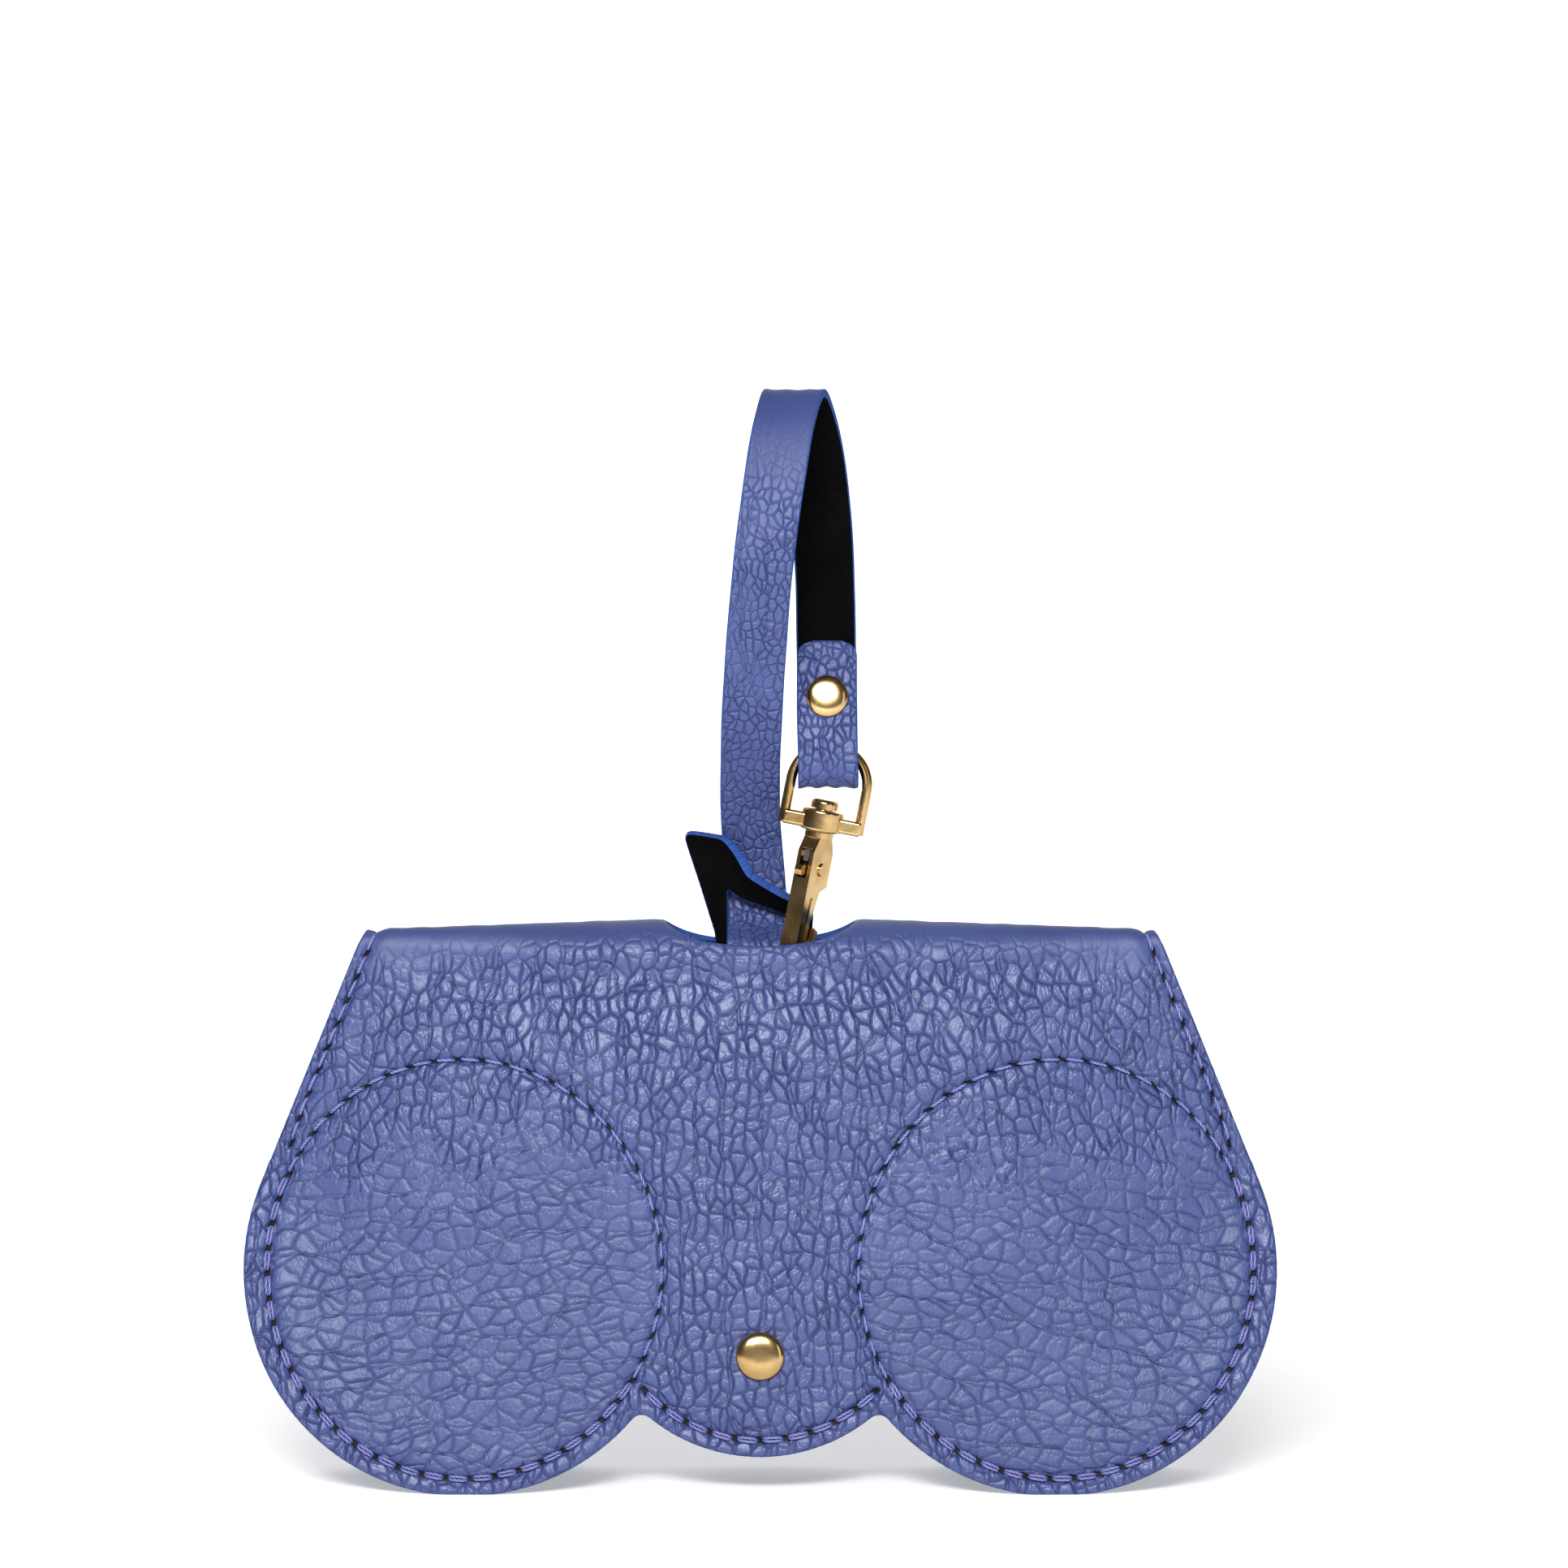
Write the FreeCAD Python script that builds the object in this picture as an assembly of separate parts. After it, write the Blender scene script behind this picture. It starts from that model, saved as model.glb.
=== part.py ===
import FreeCAD, Part
import math
import os

# Soft leather glasses sleeve with a wrist strap and a swivel snap hook, in millimetres.
# X runs along the width, -Y is the front, +Z is up. The origin is on the floor, midway
# between the four lobes that the sleeve stands on. The sleeve is one piece of leather
# folded over at the top, sewn at both sides and open at the bottom.

Vec = FreeCAD.Vector
os.makedirs("parts", exist_ok=True)

# ---- sleeve -------------------------------------------------------------------------
LEATHER = 1.6            # outer leather
LINING = 1.0             # lining glued and sewn inside it
WALL = LEATHER + LINING
RIDGE_Z = 93.3           # top of the fold between the lips of the notch
RIDGE_DROP = 1.7         # how much lower the fold is at its ends
CORNER_X = 65.2          # where the fold ends
CORNER_RADIUS = 1.8
LOBE_X = 48.6            # centre of the round part over each lens
LOBE_RADIUS = 36.4
FOOT_FLAT = 0.12         # how much of each lobe the flat it stands on takes off
LINING_SHORT = 0.4       # the lining stops this far above the leather's bottom edge
CENTRE_RADIUS = 29.0     # small lobe between them
CENTRE_BOTTOM = 6.4
VALLEY_RADIUS = 2.2      # rounding between the lobes
PINCH = 2.75             # half thickness of the sleeve along the side seams
TOP_BULGE = 6.75         # how far the fold stands out from that at the middle
BOTTOM_BULGE = 15.0      # the same at the open bottom
BULGE_REACH = 30.0       # distance from the side seam over which it swells
NOTCH_HALF = 15.7        # half width of the hole through the fold
NOTCH_DEPTH = 3.5
SEAM_TOP = (64.4, 89.6)      # side seam, from the fold ...
SEAM_BOTTOM = (80.7, 53.0)   # ... to the lens seam

# ---- stitches -----------------------------------------------------------------------
STITCH_PITCH = 4.2
STITCH_LENGTH = 2.9
STITCH_WIDTH = 0.8
STITCH_HEIGHT = 0.45
STITCH_GAP = 0.13         # a stitch stands this far off the curved wall
SIDE_STITCH_GAP = 0.5     # and further off along the pinched sides
LENS_SEAM_RX = 32.6
LENS_SEAM_RZ = 34.0
LENS_SEAM_Z = 36.6

# ---- straps -------------------------------------------------------------------------
STRAP = 1.5              # thickness of the strap and the tongue
STRAP_WIDTH = 10.0
STRAP_GAP = 0.25         # between the strap and the lining along the front wall
TONGUE_GAP = 0.5         # the same for the wider tongue along the back wall
BEND_Z = 87.5            # height at which the loop leans
BEND_GAP = 1.0           # between the two halves of each strap there
RIVET_Z = 22.7
RIVET_CAP = 8.0
RIVET_CAP_HEIGHT = 1.5
RIVET_POST = 2.5
RIVET_HOLE = 2.9
RIVET_BASE_HEIGHT = 0.9

# ---- ring and hook ------------------------------------------------------------------
TILT = 11.0              # lean of the ring and the hook to the lower left
TURN = 60.0              # turn of the hook about its stem
BAR_CENTRE = Vec(10.1, -1.1, 109.35)
RING_WIRE = 1.7
RING_HALF = 6.3
RING_STRAIGHT = 6.4
BAR = (13.2, 3.6, 2.4)
HUB_RADIUS = 3.5         # round boss in the middle of the bar
HUB_HEIGHT = 3.6
STEM = 3.0
STEM_CLEARANCE = 0.06
HOOK_THICK = 3.0
SLOT_THICK = 1.7
GATE_THICK = 1.3
PIN_AT = (0.5, -7.8)     # gate pin: across the hook, and up from the bar
PIN_RADIUS = 0.7


def save(name, shape):
    """Writes one sub-part to its STEP file."""
    shape.exportStep(f"parts/{name}.step")
    print(name, shape.isValid(), len(shape.Solids), round(shape.Volume, 2))


def polygon(points):
    """A flat face through the points, in order."""
    return Part.Face(Part.makePolygon(list(points) + [points[0]]))


def seam_distance(x, z):
    """Distance from the side seam, which holds the two walls together."""
    x = abs(x)
    ax, az = SEAM_TOP[0] - 4.6, SEAM_TOP[1] + 10.4
    bx, bz = SEAM_BOTTOM
    along = ((x - ax) * (bx - ax) + (z - az) * (bz - az)) / ((bx - ax) ** 2 + (bz - az) ** 2)
    along = min(max(along, 0.0), 1.0)
    px, pz = ax + along * (bx - ax), az + along * (bz - az)
    inward = (x - px) * (bz - az) - (z - pz) * (bx - ax)
    distance = math.hypot(x - px, z - pz)
    return distance if inward > 0 or along >= 1.0 else 0.0


def half_depth(x, z):
    """Half thickness of the sleeve at a point of its front view."""
    drop = max(0.0, 1 - max(z, 0.0) / 84.0) ** 0.8
    swell = TOP_BULGE + (BOTTOM_BULGE - TOP_BULGE) * drop
    reach = 1 - math.exp(-((seam_distance(x, z) / BULGE_REACH) ** 1.3))
    return PINCH + swell * reach


def ridge_z(x):
    """Height of the fold's top along the width."""
    out = max(0.0, abs(x) - NOTCH_HALF) / (CORNER_X - NOTCH_HALF)
    return RIDGE_Z - RIDGE_DROP * out


def fold_radius(x):
    return half_depth(x, RIDGE_Z - 9.5)


def section(x, inset):
    """Closed section of the sleeve across its width, drawn in by the inset."""
    radius = fold_radius(x)
    axis_z = ridge_z(x) - radius
    wall = []
    for step in range(8):
        z = -6 - inset + (axis_z + 6 + inset) * step / 8
        wall.append((half_depth(x, z) - inset, z))
    arc = []
    for degrees in (0, 25, 50, 75):
        angle = math.radians(degrees)
        arc.append(((radius - inset) * math.cos(angle), axis_z + (radius - inset) * math.sin(angle)))
    side = wall + arc
    points = [Vec(x, -y, z) for y, z in side]
    points.append(Vec(x, 0, ridge_z(x) - inset))
    points += [Vec(x, y, z) for y, z in reversed(side)]
    curve = Part.BSplineCurve()
    curve.interpolate(points)
    return Part.Wire([curve.toShape(), Part.makeLine(points[-1], points[0])])


def bulk(inset):
    """Everything inside the sleeve's surface, drawn in by the inset."""
    stations = [-88, -78, -67, -54, -36, -14, 14, 36, 54, 67, 78, 88]
    return Part.makeLoft([section(x, inset) for x in stations], True, False)


def outline_prism():
    """Front view of the sleeve, run through its depth."""
    corner_z = ridge_z(CORNER_X)
    lobe = Vec(LOBE_X, 0, LOBE_RADIUS - FOOT_FLAT)
    centre = Vec(0, 0, CENTRE_BOTTOM + CENTRE_RADIUS)
    # side edge: the tangent from the fold's end to the lobe
    corner = Vec(CORNER_X, 0, corner_z + 0.4)
    to_lobe = lobe - corner
    half = math.asin(LOBE_RADIUS / to_lobe.Length)
    angle = math.atan2(to_lobe.z, to_lobe.x) + half
    length = math.sqrt(to_lobe.Length ** 2 - LOBE_RADIUS ** 2)
    side = Vec(math.cos(angle), 0, math.sin(angle))
    side_end = corner + side * length
    # rounded corner between the side edge and the fold
    top = Vec(-1, 0, RIDGE_DROP / (CORNER_X - NOTCH_HALF)).normalize()
    half_turn = side.getAngle(top) / 2
    back = CORNER_RADIUS / math.tan(half_turn)
    middle = (side + top).normalize()
    corner_mid = corner + middle * (CORNER_RADIUS / math.sin(half_turn) - CORNER_RADIUS)
    corner_side = corner + side * back
    corner_top = corner + top * back
    # rounded valley between the lobe and the centre lobe
    r_lobe = LOBE_RADIUS + VALLEY_RADIUS
    r_centre = CENTRE_RADIUS + VALLEY_RADIUS
    gap = lobe - centre
    along = (r_centre ** 2 - r_lobe ** 2 + gap.Length ** 2) / (2 * gap.Length)
    unit = Vec(gap).normalize()
    across = Vec(unit.z, 0, -unit.x)
    valley = centre + unit * along + across * math.sqrt(r_centre ** 2 - along ** 2)
    valley_lobe = valley + Vec(lobe - valley).normalize() * VALLEY_RADIUS
    valley_centre = valley + Vec(centre - valley).normalize() * VALLEY_RADIUS
    valley_top = valley + Vec(0, 0, VALLEY_RADIUS)
    lobe_bottom = lobe - Vec(0, 0, LOBE_RADIUS)
    side_low = lobe + Vec(LOBE_RADIUS * 0.8, 0, -LOBE_RADIUS * 0.6)
    ridge_end = Vec(0, 0, RIDGE_Z + 0.4 + RIDGE_DROP * NOTCH_HALF / (CORNER_X - NOTCH_HALF))
    right = [
        Part.makeLine(ridge_end, corner_top),
        Part.Arc(corner_top, corner_mid, corner_side).toShape(),
        Part.makeLine(corner_side, side_end),
        Part.Arc(side_end, side_low, lobe_bottom).toShape(),
        Part.Arc(lobe_bottom, lobe + Vec(-LOBE_RADIUS * 0.5, 0, -LOBE_RADIUS * 0.866), valley_lobe).toShape(),
        Part.Arc(valley_lobe, valley_top, valley_centre).toShape(),
    ]
    left = [edge.mirror(Vec(0, 0, 0), Vec(1, 0, 0)) for edge in right]
    mirrored = Vec(-valley_centre.x, 0, valley_centre.z)
    bottom = Part.Arc(valley_centre, Vec(0, 0, CENTRE_BOTTOM), mirrored).toShape()
    wire = Part.Wire(Part.__sortEdges__(right + [bottom] + left))
    face = Part.Face(wire)
    face.translate(Vec(0, -40, 0))
    above_floor = Part.makeBox(200, 80, 120, Vec(-100, -40, 0))
    return face.extrude(Vec(0, 80, 0)).common(above_floor)


def notch_cutter():
    """Oval hole cut square through the fold."""
    radius = fold_radius(0)
    axis_z = RIDGE_Z - radius
    height = radius + 2.0
    half_width = height * math.tan(math.acos((radius - NOTCH_DEPTH) / radius))

    def oval(z, width):
        along_x, along_y = Vec(NOTCH_HALF, 0, 0), Vec(0, width, 0)
        if width > NOTCH_HALF:
            ellipse = Part.Ellipse(along_y, along_x, Vec(0, 0, 0))
        else:
            ellipse = Part.Ellipse(along_x, along_y, Vec(0, 0, 0))
        shape = ellipse.toShape()
        shape.translate(Vec(0, 0, z))
        return Part.Wire([shape])

    return Part.makeLoft([oval(axis_z, 0.03), oval(axis_z + height, half_width)], True, True)


def wall_frame(x, z, side):
    """Point on the outer face of a wall and its outward normal; side is -1 in front."""
    step = 0.5
    slope_x = (half_depth(x + step, z) - half_depth(x - step, z)) / (2 * step)
    slope_z = (half_depth(x, z + step) - half_depth(x, z - step)) / (2 * step)
    normal = Vec(-slope_x, side, -slope_z).normalize()
    return Vec(x, side * half_depth(x, z), z), normal


def stitch(centre, tangent, normal, side, inset, gap):
    """One stitch on a wall face that is inset behind the outer face, at least a gap off it."""
    tangent = Vec(tangent)
    tangent = (tangent - normal * tangent.dot(normal)).normalize()
    across = normal.cross(tangent)
    outward = 1 if normal.y * side > 0 else -1
    lift = gap
    for along in (-STITCH_LENGTH / 2, 0, STITCH_LENGTH / 2):
        for over in (-STITCH_WIDTH / 2, STITCH_WIDTH / 2):
            corner = centre + tangent * along + across * over
            face = half_depth(corner.x, corner.z) - inset
            lift = max(lift, gap - outward * (side * corner.y - face))
    turn = FreeCAD.Rotation(tangent, across, normal, "XYZ")
    bar = Part.makeBox(
        STITCH_LENGTH, STITCH_WIDTH, STITCH_HEIGHT, Vec(-STITCH_LENGTH / 2, -STITCH_WIDTH / 2, 0)
    )
    bar.Placement = FreeCAD.Placement(centre + normal * lift, turn)
    return bar


def seam(points, side, gap=STITCH_GAP):
    """Stitches on both faces of one wall, at (x, z) points with their directions."""
    bars = []
    for x, z, dx, dz in points:
        outside, normal = wall_frame(x, z, side)
        bars.append(stitch(outside, Vec(dx, 0, dz), normal, side, 0, gap))
        inside = outside - normal * (WALL + 0.02)
        if abs(inside.y) > 1.0:
            bars.append(stitch(inside, Vec(dx, 0, dz), normal * -1, side, WALL, gap))
    return Part.makeCompound(bars)


def lens_points(sign):
    count = round(math.pi * (LENS_SEAM_RX + LENS_SEAM_RZ) / STITCH_PITCH)
    points = []
    for i in range(count):
        angle = 2 * math.pi * i / count
        x = sign * LOBE_X + LENS_SEAM_RX * math.cos(angle)
        z = LENS_SEAM_Z + LENS_SEAM_RZ * math.sin(angle)
        points.append((x, z, -LENS_SEAM_RX * math.sin(angle), LENS_SEAM_RZ * math.cos(angle)))
    return points


def side_points(sign):
    dx = sign * (SEAM_BOTTOM[0] - SEAM_TOP[0])
    dz = SEAM_BOTTOM[1] - SEAM_TOP[1]
    length = math.hypot(dx, dz)
    count = int(length / STITCH_PITCH)
    points = []
    for i in range(count):
        share = (i + 0.5) / count
        points.append((sign * SEAM_TOP[0] + dx * share, SEAM_TOP[1] + dz * share, dx, dz))
    return points


def bottom_points():
    radius = CENTRE_RADIUS - 2.6
    centre_z = CENTRE_BOTTOM + CENTRE_RADIUS
    reach = math.radians(44)
    count = round(2 * reach * radius / STITCH_PITCH)
    points = []
    for i in range(count):
        angle = -reach + 2 * reach * (i + 0.5) / count
        x, z = radius * math.sin(angle), centre_z - radius * math.cos(angle)
        points.append((x, z, math.cos(angle), math.sin(angle)))
    return points


def along_normal(shape, at, normal):
    """Puts a shape built up +Z from the origin at a point, pointing along a normal."""
    placed = shape.copy()
    placed.Placement = FreeCAD.Placement(at, FreeCAD.Rotation(Vec(0, 0, 1), normal))
    return placed


def rivet(stack, cap):
    """A tubular rivet: the domed cap with its post, and the flat base it is set in.

    The outer face of the stack is at z = 0 and its inner face at z = -stack."""
    dome = (cap ** 2 / 4 + RIVET_CAP_HEIGHT ** 2) / (2 * RIVET_CAP_HEIGHT)
    head = Part.makeSphere(dome, Vec(0, 0, RIVET_CAP_HEIGHT - dome))
    head = head.common(Part.makeCylinder(cap / 2, RIVET_CAP_HEIGHT))
    post = Part.makeCylinder(RIVET_POST / 2, stack + 0.6, Vec(0, 0, -stack - 0.55))
    base = Part.makeCylinder(cap / 2 - 0.4, RIVET_BASE_HEIGHT, Vec(0, 0, -stack - RIVET_BASE_HEIGHT))
    bore = Part.makeCylinder(RIVET_POST / 2 + 0.03, 0.62, Vec(0, 0, -stack - 0.6))
    return head.fuse(post), base.cut(bore)


def ribbon(points, widths, steps=2):
    """A flat strap along a smooth curve through the points, its width as near to X as it can be.

    Each stretch between two points is made of that many straight steps."""
    curve = Part.BSplineCurve()
    curve.interpolate(points)
    knots = [curve.parameter(point) for point in points]
    sections = []
    for i in range(steps * (len(points) - 1) + 1):
        stretch = min(i // steps, len(points) - 2)
        share = i / steps - stretch
        at = knots[stretch] + (knots[stretch + 1] - knots[stretch]) * share
        half = (widths[stretch] + (widths[stretch + 1] - widths[stretch]) * share) / 2
        centre = curve.value(at)
        tangent = Vec(*curve.tangent(at)[0]).normalize()
        across = (Vec(1, 0, 0) - tangent * tangent.x).normalize()
        through = tangent.cross(across) * (STRAP / 2)
        corners = [
            centre - across * half - through,
            centre + across * half - through,
            centre + across * half + through,
            centre - across * half + through,
        ]
        sections.append(Part.makePolygon(corners + [corners[0]]))
    return Part.makeLoft(sections, True, True)


def wall_inside(z, side, gap):
    """Middle of a strap that lies against a wall's lining, at the sleeve's centre line."""
    return Vec(0, side * (half_depth(0, z) - WALL - STRAP / 2 - gap), z)


# ---- the sleeve's leather and lining --------------------------------------------------
prism = outline_prism()
hole = notch_cutter()
leather = bulk(0.0).cut(bulk(LEATHER)).common(prism).cut(hole)
lining = bulk(LEATHER).cut(bulk(WALL)).common(prism).cut(hole)
lining = lining.common(prism.translated(Vec(0, 0, LINING_SHORT)))

# ---- strap and tongue inside ----------------------------------------------------------
low_end = BEND_Z - BEND_GAP / 2
strap_inside = [wall_inside(z, -1, STRAP_GAP) for z in (15.0, 22.7, 34.0, 46.0)]
strap_inside += [Vec(-0.2, -7.6, 60.0), Vec(-0.7, -2.6, 74.0), Vec(-1.25, 1.3, low_end)]
pull_strap = ribbon(strap_inside, [STRAP_WIDTH] * (len(strap_inside) - 1) + [8.6])
tongue_inside = [wall_inside(z, 1, TONGUE_GAP) for z in (14.0, 22.7, 40.0, 56.0)]
tongue_inside += [Vec(0.4, 6.6, 70.0), Vec(0.8, 4.3, 80.0), Vec(0.8, 3.65, low_end)]
tongue_widths = [16.0, 16.0, 16.0, 16.0, 15.6, 15.6, 15.6]
tongue_foot = ribbon(tongue_inside, tongue_widths)

# ---- tongue above the bend, with its slot ---------------------------------------------
TONGUE_Y = 2.9
high_end = BEND_Z + BEND_GAP / 2
tongue_outline = [
    (-7.0, high_end), (-7.0, 90.2), (-12.6, 107.2), (-6.1, 106.3), (-4.2, 103.6),
    (-2.3, 100.0), (1.1, 98.0), (4.3, 96.2), (8.6, 95.2), (8.6, high_end),
]
slot_outline = [(-5.9, 88.8), (-5.9, 98.5), (-3.4, 96.4), (1.1, 95.2), (5.2, 93.8), (5.2, 88.8)]
tongue_tip = polygon([Vec(x, TONGUE_Y, z) for x, z in tongue_outline]).extrude(Vec(0, STRAP, 0))
slot = polygon([Vec(x, TONGUE_Y - 1, z) for x, z in slot_outline]).extrude(Vec(0, STRAP + 2, 0))
tongue_tip = tongue_tip.cut(slot)

# ---- wrist loop -----------------------------------------------------------------------
# From the bend it goes through the tongue's slot, up the front, over the top, down the
# back, round the ring and up to its riveted end.
FOLD_Y = -1.0
FOLD_Z = 118.2
FOLD_RADIUS = 2.35
loop_route = [
    Vec(-0.7, 1.15, high_end),
    Vec(-0.6, 1.55, 89.3),
    Vec(-0.5, 5.1, 92.0),
    Vec(-0.7, 6.7, 97.0),
    Vec(-1.3, 6.3, 104.5),
    Vec(-1.7, 2.8, 112.0),
    Vec(-1.5, -4.2, 124.0),
    Vec(-0.7, -8.6, 138.0),
    Vec(0.5, -10.4, 152.0),
    Vec(2.2, -9.2, 165.0),
    Vec(3.9, -5.6, 175.0),
    Vec(5.7, 0.6, 179.9),
    Vec(7.8, 6.6, 175.0),
    Vec(9.6, 9.4, 165.0),
    Vec(10.6, 8.0, 152.0),
    Vec(10.9, 3.6, 138.0),
    Vec(11.0, 0.2, 128.0),
    Vec(11.1, 0.7, 123.0),
    Vec(11.2, FOLD_Y + FOLD_RADIUS, FOLD_Z),
    Vec(11.2, FOLD_Y, FOLD_Z - FOLD_RADIUS),
    Vec(11.2, FOLD_Y - FOLD_RADIUS, FOLD_Z),
    Vec(11.1, -2.75, 123.0),
    Vec(11.0, -1.5, 128.4),
    Vec(11.0, 0.24, 134.5),
    Vec(11.0, 1.95, 139.0),
]
wrist_loop = ribbon(loop_route, [STRAP_WIDTH] * len(loop_route), steps=3)

# ---- rivets ---------------------------------------------------------------------------
pieces = {}
for name, side in (("front", -1), ("back", 1)):
    face, normal = wall_frame(0, RIVET_Z, side)
    stack = WALL + STRAP + (STRAP_GAP if side < 0 else TONGUE_GAP)
    cap, base = rivet(stack + 0.05, RIVET_CAP)
    drill = Part.makeCylinder(RIVET_HOLE / 2, 14, Vec(0, 0, -9))
    drill = along_normal(drill, face, normal)
    leather = leather.cut(drill)
    lining = lining.cut(drill)
    if side < 0:
        pull_strap = pull_strap.cut(drill)
    else:
        tongue_foot = tongue_foot.cut(drill)
    pieces[f"{name}_rivet_cap"] = along_normal(cap, face, normal)
    pieces[f"{name}_rivet_base"] = along_normal(base, face, normal)

STRAP_RIVET_AT = Vec(11.0, -1.05, 130.0)
strap_normal = Vec(0, -0.96, 0.28).normalize()
strap_face = STRAP_RIVET_AT + strap_normal * (STRAP / 2 + 0.14)
cap, base = rivet(2 * STRAP + 0.85, 7.0)
drill = along_normal(Part.makeCylinder(RIVET_HOLE / 2, 14, Vec(0, 0, -9)), strap_face, strap_normal)
wrist_loop = wrist_loop.cut(drill)
pieces["strap_rivet_cap"] = along_normal(cap, strap_face, strap_normal)
pieces["strap_rivet_base"] = along_normal(base, strap_face, strap_normal)

# ---- swivel ring ----------------------------------------------------------------------
# Local frame of the ring: x along its bar, z up along the stem.
ring_turn = FreeCAD.Rotation(Vec(0, 1, 0), TILT)
ring_place = FreeCAD.Placement(BAR_CENTRE, ring_turn)
foot = Vec(-RING_HALF, 0, -BAR[2] / 2 + 0.2)
shoulder = Vec(-RING_HALF, 0, RING_STRAIGHT)
crown = Vec(0, 0, RING_STRAIGHT + RING_HALF)
path = Part.Wire([
    Part.makeLine(foot, shoulder),
    Part.Arc(shoulder, crown, Vec(RING_HALF, 0, RING_STRAIGHT)).toShape(),
    Part.makeLine(Vec(RING_HALF, 0, RING_STRAIGHT), Vec(RING_HALF, 0, foot.z)),
])
disc = Part.Wire([Part.makeCircle(RING_WIRE / 2, foot, Vec(0, 0, 1))])
ring = path.makePipeShell([disc], True, True)
bar = Part.makeBox(BAR[0], BAR[1], BAR[2], Vec(-BAR[0] / 2, -BAR[1] / 2, -BAR[2] / 2))
bar = bar.makeFillet(0.5, bar.Edges)
hub = Part.makeCylinder(HUB_RADIUS, HUB_HEIGHT, Vec(0, 0, -1.5))
hub = hub.makeFillet(0.5, hub.Edges)
stem_hole = Part.makeCylinder(STEM / 2 + STEM_CLEARANCE, 8, Vec(0, 0, -4))
ring = ring.fuse([bar, hub]).cut(stem_hole).removeSplitter()
ring.Placement = ring_place

# ---- hook body ------------------------------------------------------------------------
# Local frame of the hook: x across it, from the spine to the gate, y through its
# thickness, z up along the stem.
hook_turn = ring_turn.multiply(FreeCAD.Rotation(Vec(0, 0, 1), TURN))
hook_place = FreeCAD.Placement(BAR_CENTRE, hook_turn)
HOOK_HALF = 3.2
HOOK_END_Z = -21.6
HOOK_INNER = 1.6
TIP_Z = -17.6
BODY_TOP = -2.3


def hook_plate():
    """Flat shape of the hook: block, spine, round end and the tip the gate shuts on."""
    outer = [
        Part.makeLine(Vec(-1.9, 0, BODY_TOP), Vec(1.9, 0, BODY_TOP)),
        Part.makeLine(Vec(1.9, 0, BODY_TOP), Vec(HOOK_HALF, 0, -5.0)),
        Part.makeLine(Vec(HOOK_HALF, 0, -5.0), Vec(HOOK_HALF, 0, -10.6)),
        Part.makeLine(Vec(HOOK_HALF, 0, -10.6), Vec(-HOOK_INNER, 0, -12.8)),
        Part.makeLine(Vec(-HOOK_INNER, 0, -12.8), Vec(-HOOK_INNER, 0, HOOK_END_Z)),
        Part.Arc(
            Vec(-HOOK_INNER, 0, HOOK_END_Z),
            Vec(0, 0, HOOK_END_Z - HOOK_INNER),
            Vec(HOOK_INNER, 0, HOOK_END_Z),
        ).toShape(),
        Part.makeLine(Vec(HOOK_INNER, 0, HOOK_END_Z), Vec(1.9, 0, TIP_Z)),
        Part.makeLine(Vec(1.9, 0, TIP_Z), Vec(HOOK_HALF, 0, TIP_Z - 0.6)),
        Part.makeLine(Vec(HOOK_HALF, 0, TIP_Z - 0.6), Vec(HOOK_HALF, 0, HOOK_END_Z)),
        Part.Arc(
            Vec(HOOK_HALF, 0, HOOK_END_Z),
            Vec(0, 0, HOOK_END_Z - HOOK_HALF),
            Vec(-HOOK_HALF, 0, HOOK_END_Z),
        ).toShape(),
        Part.makeLine(Vec(-HOOK_HALF, 0, HOOK_END_Z), Vec(-HOOK_HALF, 0, -5.0)),
        Part.makeLine(Vec(-HOOK_HALF, 0, -5.0), Vec(-1.9, 0, BODY_TOP)),
    ]
    face = Part.Face(Part.Wire(outer))
    face.translate(Vec(0, -HOOK_THICK / 2, 0))
    return face.extrude(Vec(0, HOOK_THICK, 0))


stem = Part.makeCylinder(STEM / 2, 5.6, Vec(0, 0, -2.6))
stem_head = Part.makeCylinder(2.3, 1.5, Vec(0, 0, 2.3))
stem_head = stem_head.makeFillet(0.7, [stem_head.Edges[0]])
collar = Part.makeCylinder(2.4, 0.9, Vec(0, 0, -2.5))
gate_slot = Part.makeBox(2 * HOOK_HALF + 2, SLOT_THICK, 10.0, Vec(-HOOK_HALF - 1, -SLOT_THICK / 2, -14.4))
spine_keep = Part.makeBox(2.2, SLOT_THICK, 5.0, Vec(-HOOK_HALF, -SLOT_THICK / 2, -14.4))
pin_x, pin_z = PIN_AT
pin_hole = Part.makeCylinder(PIN_RADIUS + 0.04, 8, Vec(pin_x, -4, pin_z), Vec(0, 1, 0))
hook = hook_plate().fuse([stem, stem_head, collar])
hook = hook.cut(gate_slot.cut(spine_keep)).cut(pin_hole).removeSplitter()
hook.Placement = hook_place

# ---- gate, its pin and its spring -----------------------------------------------------
gate_outline = [
    (-1.0, -6.0), (1.2, -6.2), (2.4, -7.6), (3.0, -10.6), (1.55, -16.8), (1.35, -19.6),
    (0.4, -19.6), (0.4, -17.0), (0.9, -11.2), (-1.2, -9.0), (-3.2, -8.8), (-4.5, -8.9),
    (-4.9, -8.1), (-4.5, -7.3), (-3.0, -7.2),
]
gate = polygon([Vec(x, -GATE_THICK / 2, z) for x, z in gate_outline]).extrude(Vec(0, GATE_THICK, 0))
gate_hole = Part.makeCylinder(PIN_RADIUS + 0.05, 4, Vec(pin_x, -2, pin_z), Vec(0, 1, 0))
gate = gate.cut(gate_hole)
pin_length = HOOK_THICK + 0.2
gate_pin = Part.makeCylinder(PIN_RADIUS, pin_length, Vec(pin_x, -pin_length / 2, pin_z), Vec(0, 1, 0))
pin_cap = Part.makeCylinder(1.1, 0.3, Vec(pin_x, HOOK_THICK / 2 + 0.01, pin_z), Vec(0, 1, 0))
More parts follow.
